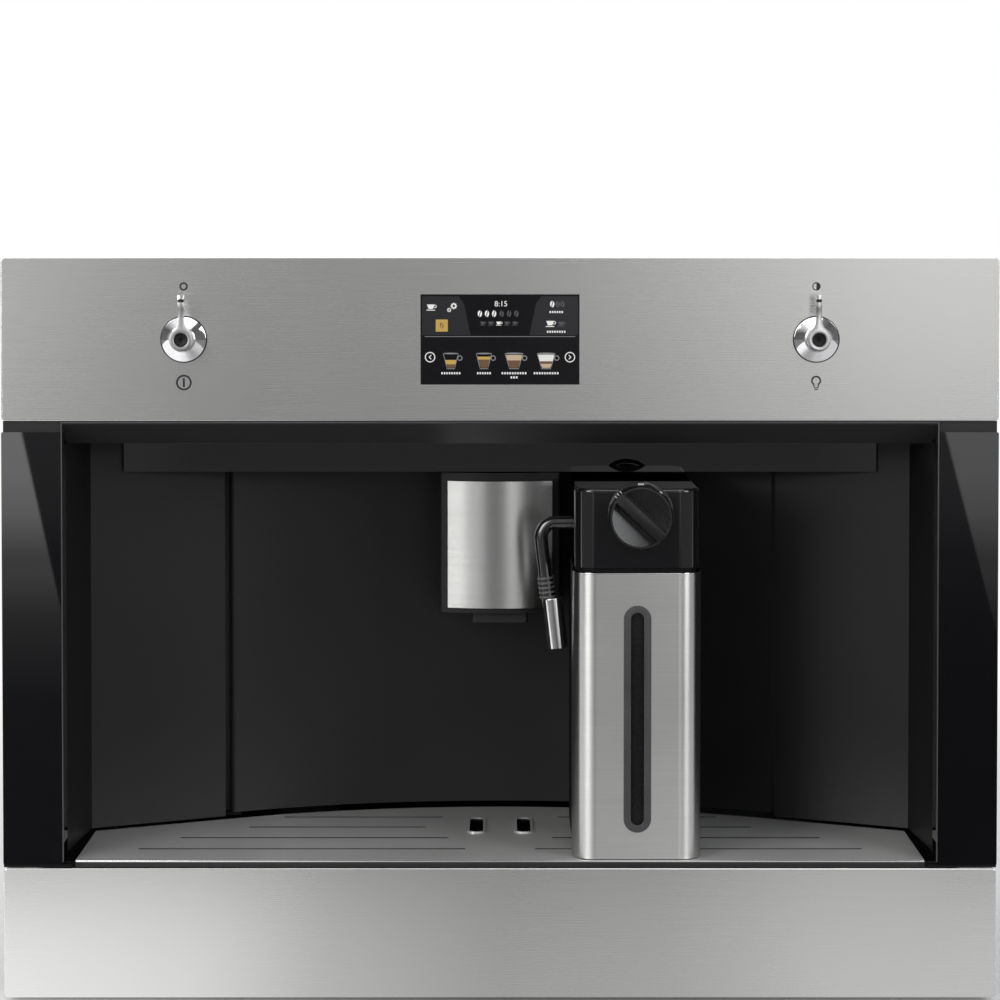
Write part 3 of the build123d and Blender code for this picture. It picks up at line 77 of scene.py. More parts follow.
floorLook = {
    "colour": (0.80, 0.80, 0.80), "fade": (0.55, 1.5), "size": 12.0, "under": 0.0003,
    "start": (-0.02, 0.0),            # polished parts mirror the studio's floor only in front of the steel
    # mirrored just in front of the object, from left to right over 0.8 m
    "near": [(0.0, 1.15), (0.125, 1.1), (0.26, 0.95), (0.36, 0.60), (0.5, 0.40), (0.63, 0.44),
             (0.75, 0.60), (0.88, 0.62), (1.0, 0.7)],
    "nearHalf": 0.40, "nearEnd": (0.35, 0.39),
    # mirrored further away, by distance over 6 m
    "far": [(0.0, 0.02), (0.19, 0.04), (0.248, 0.108), (0.307, 0.186), (0.37, 0.40), (0.417, 0.45),
            (0.533, 1.1), (0.683, 1.42), (1.0, 1.55)],
    "farReach": 6.0,
    # the far part is lit outside two lines: side, start, run per metre, share of the light
    "edges": [(-1, -0.2116, -0.182, 1.0), (1, 0.356, 0.14, 0.54)],
    "edgeBlur": (-0.0008, 0.0012), "edgeNearest": 0.05,
    "betweenEdges": 0.09,
    "columnView": (0.245, 0.258, 0.305, 0.318),   # the strip that the columns mirror from the front
    "elsewhere": (0.08, 0.25),                    # mirrored from the rest of it: in the middle, outside
    "middle": (0.12, 0.23), "middleEnd": (3.3, 3.9), "behindMiddle": 0.7,
}


class Wire:
    def __init__(self, tree, socket=None, owner=None):
        self.tree = tree
        self.socket = socket
        self.owner = owner

    def node(self, kind, settings=None, inputs=None, output=0):
        made = self.tree.nodes.new("ShaderNode" + kind)
        for key, value in (settings or {}).items():
            if key == "stops":
                ramp = made.color_ramp
                while len(ramp.elements) < len(value):
                    ramp.elements.new(0.5)
                for element, (place, level) in zip(ramp.elements, value):
                    element.position = place
                    element.color = (level, level, level, 1)
            else:
                setattr(made, key, value)
        for key, value in (inputs or {}).items():
            if isinstance(value, Wire):
                self.tree.links.new(value.socket, made.inputs[key])
            else:
                made.inputs[key].default_value = value
        return Wire(self.tree, made.outputs[output] if made.outputs else None, made)

    def math(self, operation, *values):
        return self.node("Math", {"operation": operation}, dict(enumerate(values)))

    def atLeast(self, low):
        return self.math("MAXIMUM", self, low)

    def __add__(self, other):
        return self.math("ADD", self, other)

    __radd__ = __add__

    def __sub__(self, other):
        return self.math("SUBTRACT", self, other)

    def __rsub__(self, other):
        return self.math("SUBTRACT", other, self)

    def __mul__(self, other):
        return self.math("MULTIPLY", self, other)

    __rmul__ = __mul__

    def __truediv__(self, other):
        return self.math("DIVIDE", self, other)

    def clamped(self):
        return self.node("Clamp", None, {"Value": self})

    def ramp(self, stops):
        return self.node("ValToRGB", {"stops": stops}, {"Fac": self})

    def between(self, low, high):
        return self.node("MapRange", {"interpolation_type": "SMOOTHSTEP"},
                         {"Value": self, "From Min": low, "From Max": high})

    def blend(self, first, second):
        if isinstance(first, tuple):
            first = (*first, 1)
        if isinstance(second, tuple):
            second = (*second, 1)
        return self.node("Mix", {"data_type": "RGBA"}, {0: self, 6: first, 7: second}, 2)

    def part(self, index):
        return self.node("SeparateXYZ", None, {0: self}, index)


def makeCamera(look):
    data = bpy.data.cameras.new("photoCamera")
    data.lens = look["lens"]
    data.sensor_width = look["sensor"]
    data.shift_y = look["shift"]
    data.clip_start, data.clip_end = look["clip"]
    camera = bpy.data.objects.new("photoCamera", data)
    bpy.context.scene.collection.objects.link(camera)
    camera.location = (0, faceY - look["distance"], look["height"])
    camera.rotation_euler = (math.radians(90 - look["pitch"]), 0, 0)
    bpy.context.scene.camera = camera


def makeLamps(looks):
    for name, place, size, watts, colour in looks:
        data = bpy.data.lights.new(name, "AREA")
        data.shape = "RECTANGLE"
        data.size, data.size_y = size
        data.energy = watts
        data.color = colour
        lamp = bpy.data.objects.new(name, data)
        bpy.context.scene.collection.objects.link(lamp)
        lamp.location = place
        aim = Vector(lampAim) - Vector(place)
        lamp.rotation_euler = aim.to_track_quat("-Z", "Y").to_euler()


def raysOf(start, *kinds):
    path = start.node("LightPath").owner.outputs
    total = Wire(start.tree, path[kinds[0]])
    for kind in kinds[1:]:
        total = total + Wire(start.tree, path[kind])
    return total.clamped()


def makeWorld(look):
    world = bpy.data.worlds.new("studio")
    bpy.context.scene.world = world
    world.use_nodes = True
    tree = world.node_tree
    tree.nodes.clear()
    start = Wire(tree)
    way = Wire(tree, start.node("TexCoord").owner.outputs["Generated"])
    studio = (way.part(0) * 0.5 + 0.5).ramp(look["studio"])
    front = (0 - way.part(1)).between(-look["frontEdge"], look["frontEdge"])
    mirrored = raysOf(start, "Is Glossy Ray")
    seen = (front * mirrored).blend((1.0, 1.0, 1.0), studio)
    backdrop = start.node("Background", None, {"Color": seen, "Strength": 1.0})
    ambient = start.node("Background", None, {"Color": (1, 1, 1, 1), "Strength": look["ambient"]})
    isBackdrop = raysOf(start, "Is Camera Ray", "Is Glossy Ray", "Is Transmission Ray")
    mixed = start.node("MixShader", None, {0: isBackdrop, 1: ambient, 2: backdrop})
    start.node("OutputWorld", None, {"Surface": mixed})


def makeFloor(look):
    bpy.ops.object.select_all(action="DESELECT")
    bpy.ops.mesh.primitive_plane_add(size=look["size"], location=(0, 0, -look["under"]))
    floor = bpy.context.object
    floor.name = "floor"
    material = bpy.data.materials.new("paleFloor")
    material.use_nodes = True
    tree = material.node_tree
    tree.nodes.clear()
    start = Wire(tree)
    place = Wire(tree, start.node("TexCoord").owner.outputs["Object"])
    away = Wire(tree, start.node("VectorMath", {"operation": "LENGTH"}, {0: place}).owner.outputs["Value"])
    matte = start.node("BsdfDiffuse", None, {"Color": (*look["colour"], 1)})
    white = start.node("Emission", None, {"Color": (1, 1, 1, 1), "Strength": 1.0})
    faded = away.between(*look["fade"]) * raysOf(start, "Is Camera Ray", "Is Transmission Ray")
    plain = start.node("MixShader", None, {0: faded, 1: matte, 2: white})

    across, ahead = place.part(0), faceY - place.part(1)
    near = (across / (2 * look["nearHalf"]) + 0.5).clamped().ramp(look["near"])
    lit = look["betweenEdges"]
    for side, offset, run, share in look["edges"]:
        past = (across - offset) / ahead.atLeast(look["edgeNearest"]) - run
        lit = lit + (past * side).between(*look["edgeBlur"]) * share
    far = (ahead / look["farReach"]).clamped().ramp(look["far"]) * lit
    spread = across.math("ABSOLUTE", across) / (ahead / cameraLook["distance"] + 1)
    stripStart, stripFull, stripLast, stripEnd = look["columnView"]
    inView = spread.between(stripStart, stripFull) * (1 - spread.between(stripLast, stripEnd))
    inner, outer = look["elsewhere"]
    beyond = ahead.between(*look["middleEnd"]) * look["behindMiddle"]
    rest = spread.between(*look["middle"]).atLeast(beyond) * (outer - inner) + inner
    far = far * inView + (1 - inView) * rest
    mirrored = ahead.between(*look["nearEnd"]).blend(near, far)
    studio = start.node("Emission", None, {"Color": mirrored, "Strength": 1.0})
    inFront = ahead.between(*look["start"]) * raysOf(start, "Is Glossy Ray")
    mixed = start.node("MixShader", None, {0: inFront, 1: plain, 2: studio})
    start.node("OutputMaterial", None, {"Surface": mixed})
    floor.data.materials.append(material)


makeCamera(cameraLook)
makeLamps(lampLook)
makeWorld(worldLook)
makeFloor(floorLook)
bpy.context.scene.view_settings.view_transform = "Standard"
print("camera, lamps and floor ready")


# finishes
# grain: cells per metre along x, y and z; wear: broad patches per metre

finishes = {
    "brushedSteel": {"colour": (0.80, 0.80, 0.79), "dark": (0.745, 0.745, 0.735), "metallic": 1.0,
                     "rough": (0.25, 0.29), "grain": (12, 12, 3600), "wear": 6, "bump": 0.03, "brushed": 0.6},
    "jugSteel": {"colour": (0.80, 0.80, 0.79), "dark": (0.69, 0.69, 0.68), "metallic": 1.0,
                 "rough": (0.30, 0.36), "grain": (16, 16, 3400), "wear": 9, "bump": 0.05, "brushed": 0.8},
    "traySteel": {"colour": (0.76, 0.76, 0.755), "dark": (0.64, 0.64, 0.635), "metallic": 0.66,
                  "rough": (0.34, 0.44), "grain": (14, 2600, 2600), "wear": 12, "bump": 0.05,
                  "litAbove": 0.08576},     # painted shade: below this height the slots and the front lip under the top sheet are painted near-black and not metallic
    "chrome": {"colour": (0.86, 0.86, 0.87), "dark": (0.78, 0.78, 0.80), "metallic": 1.0,
               "rough": (0.03, 0.09), "grain": (400, 400, 400), "wear": 60, "bump": 0.01},
    "zincPlated": {"colour": (0.55, 0.56, 0.57), "dark": (0.42, 0.43, 0.45), "metallic": 1.0,
                   "rough": (0.30, 0.48), "grain": (260, 260, 260), "wear": 25, "bump": 0.05},
    "galvanised": {"colour": (0.50, 0.51, 0.53), "dark": (0.41, 0.42, 0.44), "metallic": 0.9,
                   "rough": (0.34, 0.52), "grain": (90, 90, 90), "wear": 14, "bump": 0.04, "cells": True},
    "glossBlack": {"colour": (0.007, 0.007, 0.008), "dark": (0.004, 0.004, 0.005),
                   "rough": (0.04, 0.09), "grain": (500, 500, 500), "wear": 20, "bump": 0.005,
                   "coat": 0.6},
    "polishedBlack": {"colour": (0.006, 0.006, 0.007), "dark": (0.003, 0.003, 0.004),
                      "rough": (0.0, 0.01), "grain": (500, 500, 500), "wear": 20, "bump": 0.0, "coat": 1.0},
    "satinBlack": {"colour": (0.013, 0.013, 0.014), "dark": (0.009, 0.009, 0.010),
                   "rough": (0.32, 0.44), "grain": (1400, 1400, 1400), "wear": 9, "bump": 0.10,
                   "specular": 0.32},
    "mattBlack": {"colour": (0.018, 0.018, 0.019), "dark": (0.011, 0.011, 0.012),
                  "rough": (0.45, 0.62), "grain": (1600, 1600, 1600), "wear": 18, "bump": 0.18,
                  "specular": 0.35},
    "rubber": {"colour": (0.022, 0.022, 0.022), "dark": (0.012, 0.012, 0.012),
               "rough": (0.55, 0.72), "grain": (1500, 1500, 1500), "wear": 40, "bump": 0.2,
               "specular": 0.3},
    "greyPlastic": {"colour": (0.20, 0.205, 0.21), "dark": (0.15, 0.155, 0.16),
                    "rough": (0.42, 0.55), "grain": (1200, 1200, 1200), "wear": 20, "bump": 0.15},
    "floatRed": {"colour": (0.55, 0.05, 0.03), "dark": (0.42, 0.03, 0.02),
                 "rough": (0.35, 0.5), "grain": (1200, 1200, 1200), "wear": 60, "bump": 0.1},
    "aluminium": {"colour": (0.62, 0.62, 0.63), "dark": (0.48, 0.48, 0.5), "metallic": 1.0,
                  "rough": (0.34, 0.5), "grain": (700, 700, 700), "wear": 40, "bump": 0.2},
    "brass": {"colour": (0.66, 0.48, 0.20), "dark": (0.50, 0.34, 0.13), "metallic": 1.0,
              "rough": (0.25, 0.42), "grain": (600, 600, 60), "wear": 50, "bump": 0.08},
    "silicone": {"colour": (0.70, 0.71, 0.70), "dark": (0.62, 0.62, 0.60),
                 "rough": (0.35, 0.5), "grain": (300, 300, 300), "wear": 60, "bump": 0.05,
                 "transmission": 0.35},
    "smokyClear": {"colour": (0.16, 0.165, 0.17), "dark": (0.12, 0.12, 0.125),
                   "rough": (0.06, 0.14), "grain": (500, 500, 500), "wear": 15, "bump": 0.02,
                   "transmission": 0.85},
    "waterClear": {"colour": (0.78, 0.82, 0.84), "dark": (0.72, 0.76, 0.78),
                   "rough": (0.04, 0.12), "grain": (500, 500, 500), "wear": 15, "bump": 0.02,
                   "transmission": 0.9},
    "windowSmoke": {"colour": (0.012, 0.012, 0.013), "dark": (0.007, 0.007, 0.008),
                    "rough": (0.10, 0.2), "grain": (500, 500, 500), "wear": 30, "bump": 0.02,
                    "specular": 0.35},
    "visorBlack": {"colour": (0.024, 0.024, 0.025), "dark": (0.018, 0.018, 0.019),
                   "rough": (0.40, 0.50), "grain": (1400, 1400, 1400), "wear": 9, "bump": 0.05,
                   "specular": 0.3},
    "deepBlack": {"colour": (0.005, 0.005, 0.005), "dark": (0.003, 0.003, 0.003),
                  "rough": (0.5, 0.65), "grain": (1600, 1600, 1600), "wear": 18, "bump": 0.15,
                  "specular": 0.12},
    "dialBlack": {"colour": (0.010, 0.010, 0.011), "dark": (0.007, 0.007, 0.008),
                  "rough": (0.24, 0.30), "grain": (900, 900, 900), "wear": 40, "bump": 0.02},
    "pipeBlack": {"colour": (0.010, 0.010, 0.011), "dark": (0.007, 0.007, 0.008),
                  "rough": (0.14, 0.20), "grain": (900, 900, 900), "wear": 40, "bump": 0.02,
                  "specular": 1.0, "coat": 0.8},
    "ribRubber": {"colour": (0.12, 0.12, 0.12), "dark": (0.09, 0.09, 0.09),
                  "rough": (0.30, 0.42), "grain": (1500, 1500, 1500), "wear": 60, "bump": 0.05},
    "satinChrome": {"colour": (0.80, 0.80, 0.80), "dark": (0.73, 0.73, 0.73), "metallic": 1.0,
                    "rough": (0.17, 0.24), "grain": (700, 700, 700), "wear": 60, "bump": 0.02},
    "windowFrame": {"colour": (0.055, 0.055, 0.057), "dark": (0.04, 0.04, 0.042),
                    "rough": (0.28, 0.4), "grain": (1300, 1300, 1300), "wear": 60, "bump": 0.06,
                    "specular": 0.45},
    "spoutSteel": {"colour": (0.80, 0.80, 0.79), "dark": (0.70, 0.70, 0.69), "metallic": 1.0,
                   "rough": (0.22, 0.28), "grain": (16, 16, 3400), "wear": 9, "bump": 0.05, "brushed": 0.8},
    "nozzleSteel": {"colour": (0.90, 0.90, 0.90), "dark": (0.84, 0.84, 0.84), "metallic": 1.0,
                    "rough": (0.12, 0.18), "grain": (500, 500, 60), "wear": 60, "bump": 0.02},
    "glassBlack": {"colour": (0.004, 0.004, 0.005), "dark": (0.002, 0.002, 0.003),
                   "rough": (0.03, 0.08), "grain": (300, 300, 300), "wear": 30, "bump": 0.0,
                   "specular": 0.3},
    "lampLens": {"colour": (0.62, 0.63, 0.62), "dark": (0.55, 0.56, 0.55),
                 "rough": (0.25, 0.4), "grain": (20, 900, 900), "wear": 40, "bump": 0.08},
    "boardGreen": {"colour": (0.03, 0.16, 0.07), "dark": (0.015, 0.09, 0.04),
                   "rough": (0.3, 0.5), "grain": (420, 420, 420), "wear": 120, "bump": 0.12, "cells": True},
    "whiteInk": {"colour": (0.42, 0.42, 0.42), "dark": (0.34, 0.34, 0.34),
                 "rough": (0.35, 0.5), "grain": (900, 900, 900), "wear": 200, "bump": 0.05},
    "printedInk": {"colour": (0.012, 0.012, 0.013), "dark": (0.008, 0.008, 0.009),
                   "rough": (0.4, 0.55), "grain": (900, 900, 900), "wear": 200, "bump": 0.05},
}

grainLook = {
    "toneShare": 0.7, "toneEdges": (0.2, 0.8),        # how far the grain, rather than wear, sets the tone
    "roughShare": 0.4, "roughEdges": (0.25, 0.75),    # and the roughness
    "bumpDistance": 0.0002, "coatRough": 0.01, "brushTurn": 0.25,
    # unlit: the colour painted as shade below a finish's litAbove height; unlitBlur: how soft that edge is
    "unlit": (0.004, 0.004, 0.004), "unlitBlur": 0.00002,
}


def makeFinish(name, look):
    material = bpy.data.materials.new(name)
    material.use_nodes = True
    tree = material.node_tree
    tree.nodes.clear()
    start = Wire(tree)
    place = Wire(tree, start.node("TexCoord").owner.outputs["Object"])
    stretched = start.node("Mapping", None, {"Vector": place, "Scale": look["grain"]})
    if look.get("cells"):
        grain = start.node("TexVoronoi", None, {"Vector": stretched, "Scale": 1.0}, 1).part(0)
    else:
        grain = start.node("TexNoise", None, {"Vector": stretched, "Scale": 1.0, "Detail": 3.0,
                                              "Roughness": 0.6})
    patches = start.node("TexNoise", None, {"Vector": place, "Scale": look["wear"], "Detail": 2.0})
    toneShare, roughShare = grainLook["toneShare"], grainLook["roughShare"]
    tone = (grain * toneShare + patches * (1 - toneShare)).between(*grainLook["toneEdges"])
    low, high = look["rough"]
    gloss = patches * (1 - roughShare) + grain * roughShare
    gloss = gloss.between(*grainLook["roughEdges"]) * (high - low) + low
    bump = start.node("Bump", None, {"Strength": look["bump"], "Distance": grainLook["bumpDistance"],
                                     "Height": grain})
    colour, metallic = tone.blend(look["dark"], look["colour"]), look.get("metallic", 0.0)
    # painted shade: below litAbove the colour turns to the near-black unlit colour and the metal goes out
    if "litAbove" in look:
        blur = grainLook["unlitBlur"]
        lit = place.part(2).between(look["litAbove"] - blur, look["litAbove"] + blur)
        colour, metallic = lit.blend(grainLook["unlit"], colour), lit * metallic
    shader = start.node("BsdfPrincipled", None, {
        "Base Color": colour,
        "Metallic": metallic,
        "Roughness": gloss,
        "Normal": bump,
        "Coat Weight": look.get("coat", 0.0),
        "Coat Roughness": grainLook["coatRough"],
        "Specular IOR Level": look.get("specular", 0.5),
        "Anisotropic": look.get("brushed", 0.0),
        "Anisotropic Rotation": grainLook["brushTurn"] if "brushed" in look else 0.0,
        "Transmission Weight": look.get("transmission", 0.0),
    })
    start.node("OutputMaterial", None, {"Surface": shader})
    return material


materials = {name: makeFinish(name, look) for name, look in finishes.items()}
print("finishes ready:", len(materials))

nodeFinishes = {
    "brushedSteel": ["upper_fascia", "drawer_front"],
    "jugSteel": ["jug_sleeve"],
    "spoutSteel": ["spout_cover"],
    "nozzleSteel": ["milk_nozzle"],
    "traySteel": ["drip_grid"],
    "chrome": ["lever_bases", "left_lever", "right_lever"],
    "zincPlated": ["fixed_rails", "middle_rails", "inner_rails", "screws", "brew_spindle",
                   "lower_burr", "drawer_frame"],
    "galvanised": ["chassis_base", "side_plates", "back_cover", "top_cover", "service_shelf"],
    "polishedBlack": ["side_columns", "reveal_plate"],
    "glossBlack": ["jug_lid"],
    "dialBlack": ["froth_dial"],
    "pipeBlack": ["milk_pipe"],
    "visorBlack": ["visor"],
    "deepBlack": ["jug_body", "hinge_pins"],
    "satinBlack": ["spout_shell", "recess_walls", "recess_ceiling", "upper_deck", "service_door",
                   "steam_port"],
    "mattBlack": ["spout_nozzles", "rotary_switches", "drip_basin", "grounds_container",
                  "hopper_lid", "grind_dial", "tank_lid", "tank_seat", "brew_chamber", "power_inlet",
                  "gear_motor", "pump"],
    "greyPlastic": ["brew_frame"],
    "floatRed": ["float"],
    "aluminium": ["grinder_body", "grinder_motor"],
    "brass": ["boilers"],
    "silicone": ["hoses"],
    "smokyClear": ["bean_hopper"],
    "waterClear": ["water_tank"],
    "windowSmoke": ["jug_window"],
    "glassBlack": ["display_glass"],
    "lampLens": ["light_bar"],
    "boardGreen": ["circuit_boards"],
}

for finish, names in nodeFinishes.items():
    for name in names:
        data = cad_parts[name].data
        if not data.materials:
            data.materials.append(materials[finish])
        for index in range(len(data.materials)):
            data.materials[index] = materials[finish]
print("CAD nodes dressed")


# modelling: places are x, depth behind the steel front and z, in millimetres

def at(x, depth, z):
    return Vector((x * mm, faceY + depth * mm, z * mm))


def startAlone(*pieces):
    if bpy.context.object and bpy.context.object.mode != "OBJECT":
        bpy.ops.object.mode_set(mode="OBJECT")
    bpy.ops.object.select_all(action="DESELECT")
    for piece in pieces:
        piece.select_set(True)
    if pieces:
        bpy.context.view_layer.objects.active = pieces[0]


def settled(name):
    piece = bpy.context.object
    piece.name = piece.data.name = name
    bpy.ops.object.transform_apply(location=True, rotation=True, scale=True)
    return piece


def block(name, x, depth, z, turn=(0, 0, 0)):
    startAlone()
    low, high = at(x[0], depth[0], z[0]), at(x[1], depth[1], z[1])
    bpy.ops.mesh.primitive_cube_add(size=1, location=(low + high) / 2, rotation=turn)
    bpy.context.object.scale = high - low
    return settled(name)


def roundBar(name, place, radius, length, sides=64, stretch=(1, 1), turn=(math.pi / 2, 0, 0)):
    startAlone()
    bpy.ops.mesh.primitive_cylinder_add(vertices=sides, radius=radius * mm, depth=length * mm,
                                        location=at(*place), rotation=turn)
    bpy.context.object.scale = (*stretch, 1)
    return settled(name)


def pick(piece, wanted, kind="FACE"):
    startAlone(piece)
    bpy.ops.object.mode_set(mode="EDIT")
    bpy.ops.mesh.select_mode(type=kind)
    bpy.ops.mesh.select_all(action="DESELECT")
    shape = bmesh.from_edit_mesh(piece.data)
    for item in {"FACE": shape.faces, "EDGE": shape.edges}[kind]:
        if wanted(item):
            item.select_set(True)
    bmesh.update_edit_mesh(piece.data)


def leaveEdit():
    bpy.ops.object.mode_set(mode="OBJECT")


def pickedMiddle():
    shape = bmesh.from_edit_mesh(bpy.context.object.data)
    places = [vert.co.copy() for vert in shape.verts if vert.select]
    return sum(places, Vector()) / len(places)


def resizePicked(size):
    bpy.ops.transform.resize(value=size, center_override=pickedMiddle())


def drawOut(move, size=None):
    bpy.ops.mesh.extrude_region_move(TRANSFORM_OT_translate={"value": Vector(move) * mm})
    if size:
        resizePicked(size)


def facing(direction, limit=0.9):
    aim = Vector(direction)
    return lambda face: face.normal.dot(aim) > limit


def paintFaces(piece, finish, wanted):
    if materials[finish].name not in piece.data.materials:
        piece.data.materials.append(materials[finish])
    index = piece.data.materials.find(materials[finish].name)
    for face in piece.data.polygons:
        if wanted(face):
            face.material_index = index


def joined(name, pieces):
    startAlone(*pieces)
    if len(pieces) > 1:
        bpy.ops.object.join()
    piece = bpy.context.object
    piece.name = piece.data.name = name
    return piece


def combine(piece, other, operation="UNION"):
    startAlone(piece)
    change = piece.modifiers.new("combine", "BOOLEAN")
    change.operation = operation
    change.object = other
    change.solver = "EXACT"
    bpy.ops.object.modifier_apply(modifier=change.name)
    bpy.data.objects.remove(other)
    return piece


def cutAway(piece, place, outward):
    pick(piece, lambda face: True)
    bpy.ops.mesh.bisect(plane_co=at(*place), plane_no=outward, use_fill=True, clear_outer=True)
    leaveEdit()


def roundedBlock(name, x, depth, z, axis, corner, segments):
    piece = block(name, x, depth, z)
    low, high = {"y": depth, "z": z}[axis]
    longEnough = 0.5 * (high - low) * mm
    pick(piece, lambda edge: abs(getattr(edge.verts[0].co - edge.verts[1].co, axis)) > longEnough, "EDGE")
    bpy.ops.mesh.bevel(offset=corner * mm, segments=segments, affect="EDGES")
    leaveEdit()
    return piece


def bothSides(side, low, high):
    return sorted((side * low, side * high))


endLook = {"doubles": 0.000002, "bevelAngle": 28, "smoothAngle": 35}


def finished(piece, finish, body, replaced=(), edge=0.0, segments=2):
    if finish:
        piece.data.materials.append(materials[finish])
    startAlone(piece)
    bpy.ops.object.mode_set(mode="EDIT")
    bpy.ops.mesh.select_all(action="SELECT")
    bpy.ops.mesh.remove_doubles(threshold=endLook["doubles"])
    bpy.ops.mesh.normals_make_consistent(inside=False)
    leaveEdit()
    if edge:
        bevel = piece.modifiers.new("edge", "BEVEL")
        bevel.width = edge * mm
        bevel.segments = segments
        bevel.limit_method = "ANGLE"
        bevel.angle_limit = math.radians(endLook["bevelAngle"])
        bpy.ops.object.modifier_apply(modifier=bevel.name)
    bpy.ops.object.shade_smooth_by_angle(angle=math.radians(endLook["smoothAngle"]))
    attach(piece, body)
    if replaced:
        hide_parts(*replaced)


# levers

leverLook = {
    "x": 189.0, "z": 399.5,
    "flangeRadius": 14.0, "flange": 0.9, "shoulder": 0.6,
    "coneTop": 7.5, "coneHeight": 5.6, "height": 7.0, "neckShare": 0.96,
    "collar": 1.2, "dish": 0.8, "dishShare": 0.97,
    "hubRadius": 6.8, "hubBack": -7.2, "hubFront": -16.15,
    "cupRadius": 4.2, "cupDepth": 2.2, "cupShare": 0.9, "pinRadius": 1.5, "pinDepth": 2.0,
    "cupPaint": (0.4, -1.0),     # the cup's paint starts behind the hub's front and ends before its back
    # arm: height above the hub's middle, half width, front and back depth
    "arm": [(2.0, 4.9, -15.4, -12.0), (5.6, 4.4, -15.3, -12.0), (7.4, 2.7, -15.0, -12.0),
            (9.6, 1.8, -14.8, -12.0), (13.0, 1.45, -14.8, -12.0), (18.5, 1.6, -14.9, -12.1),
            (22.2, 1.75, -15.3, -12.4), (22.5, 1.4, -15.0, -12.7), (23.9, 1.4, -15.1, -12.8),
            (24.2, 1.8, -15.6, -12.7), (26.7, 1.8, -14.7, -13.0)],
    "groove": (22.5, 23.9),      # the arm's black groove, between two of its heights
    "slack": 0.1,                # faces within this distance still count
}


def makeLeverBase(look, x):
    base = roundBar("leverBase", (x, -look["flange"] / 2, look["z"]), look["flangeRadius"],
                    look["flange"], 96)
    pick(base, facing((0, -1, 0)))
    bpy.ops.mesh.inset(thickness=look["shoulder"] * mm)
    slim = look["coneTop"] / (look["flangeRadius"] - look["shoulder"])
    drawOut((0, look["flange"] - look["coneHeight"], 0), (slim, 1, slim))
    drawOut((0, look["coneHeight"] - look["height"], 0), (look["neckShare"], 1, look["neckShare"]))
    bpy.ops.mesh.inset(thickness=look["collar"] * mm)
    drawOut((0, look["dish"], 0), (look["dishShare"], 1, look["dishShare"]))
    leaveEdit()
    base.data.materials.append(materials["chrome"])
    middle, rim = at(x, 0, look["z"]), (look["flangeRadius"] - look["shoulder"]) * mm
    flangeTop = at(0, -look["flange"] - look["slack"] / 2, 0).y
    # painted shade: the flange's shoulder, side and back are painted satin black as the dark ring where it
    # meets the panel
    paintFaces(base, "satinBlack", lambda face: (face.center - middle).xz.length > rim
               or face.center.y > flangeTop)
    return base


def makeLever(look, x, name, body, node):
    middle = (look["hubBack"] + look["hubFront"]) / 2
    hub = roundBar(name, (x, middle, look["z"]), look["hubRadius"], look["hubBack"] - look["hubFront"], 72)
    (foot, half, ahead, behind), *steps = look["arm"]
    arm = block("arm", (x - half, x + half), (ahead, behind), (look["z"] + foot, look["z"] + steps[0][0]))
    for (low, half, ahead, behind), (top, nextHalf, nextAhead, nextBehind) in zip(steps, steps[1:]):
        upper = (look["z"] + low - look["slack"]) * mm
        pick(arm, lambda face: face.normal.z > 0.5 and face.calc_center_median().z > upper)
        shift = (nextAhead + nextBehind - ahead - behind) / 2
        drawOut((0, shift, top - low), (nextHalf / half, (nextBehind - nextAhead) / (behind - ahead), 1))
        leaveEdit()
    combine(hub, arm)
    frontEnd = at(0, look["hubFront"] + 2 * look["slack"], 0).y
    pick(hub, lambda face: face.normal.y < -0.9 and face.calc_center_median().y < frontEnd)
    bpy.ops.mesh.inset(thickness=(look["hubRadius"] - look["cupRadius"]) * mm)
    drawOut((0, look["cupDepth"], 0), (look["cupShare"], 1, look["cupShare"]))
    bpy.ops.mesh.inset(thickness=(look["cupRadius"] * look["cupShare"] - look["pinRadius"]) * mm)
    drawOut((0, look["pinDepth"], 0))
    leaveEdit()

    hub.data.materials.append(materials["satinChrome"])
    low, high = [(look["z"] + height) * mm for height in look["groove"]]
    # painted highlight: the tip above the groove gets the brighter, smoother nozzle steel for its lit top
    paintFaces(hub, "nozzleSteel", lambda face: face.center.z > high + look["slack"] * mm)
    cupStart = at(0, look["hubFront"] + look["cupPaint"][0], 0).y
    cupEnd = at(0, look["hubBack"] + look["cupPaint"][1], 0).y
    middle, cup = at(x, 0, look["z"]), (look["cupRadius"] + look["slack"]) * mm
    paintFaces(hub, "satinBlack", lambda face: low < face.center.z < high
               or (cupStart < face.center.y < cupEnd and (face.center - middle).xz.length < cup))
    finished(hub, None, body, [node], edge=0.22, segments=3)


leverBases = joined("leverBases", [makeLeverBase(leverLook, side * leverLook["x"]) for side in (-1, 1)])
finished(leverBases, None, "machine", ["lever_bases"], edge=0.3, segments=3)
makeLever(leverLook, -leverLook["x"], "leftLeverHandle", "left_lever", "left_lever")
makeLever(leverLook, leverLook["x"], "rightLeverHandle", "right_lever", "right_lever")
print("levers ready")


# printed signs on the upper panel

signLook = {
    "thick": 0.06, "sunk": 0.02, "topZ": 431.1, "lowZ": 373.6,
    # outer and inner radius of the rings
    "smallRing": (2.5, 1.5), "bigRing": (4.7, 3.6), "halfRing": (2.5, 1.9), "bulb": (3.0, 2.05),
    "bar": (1.25, 5.4), "bulbRise": 1.1, "bulbCut": 1.0,
    # foot of the bulb: across, down, width, height, lean in degrees
    "bulbFoot": [(-1.35, 1.75, 0.65, 2.3, -12), (1.35, 1.75, 0.65, 2.3, 12),
                 (0, 3.1, 2.4, 0.6, 0), (0, 4.1, 1.9, 0.6, 0)],
}


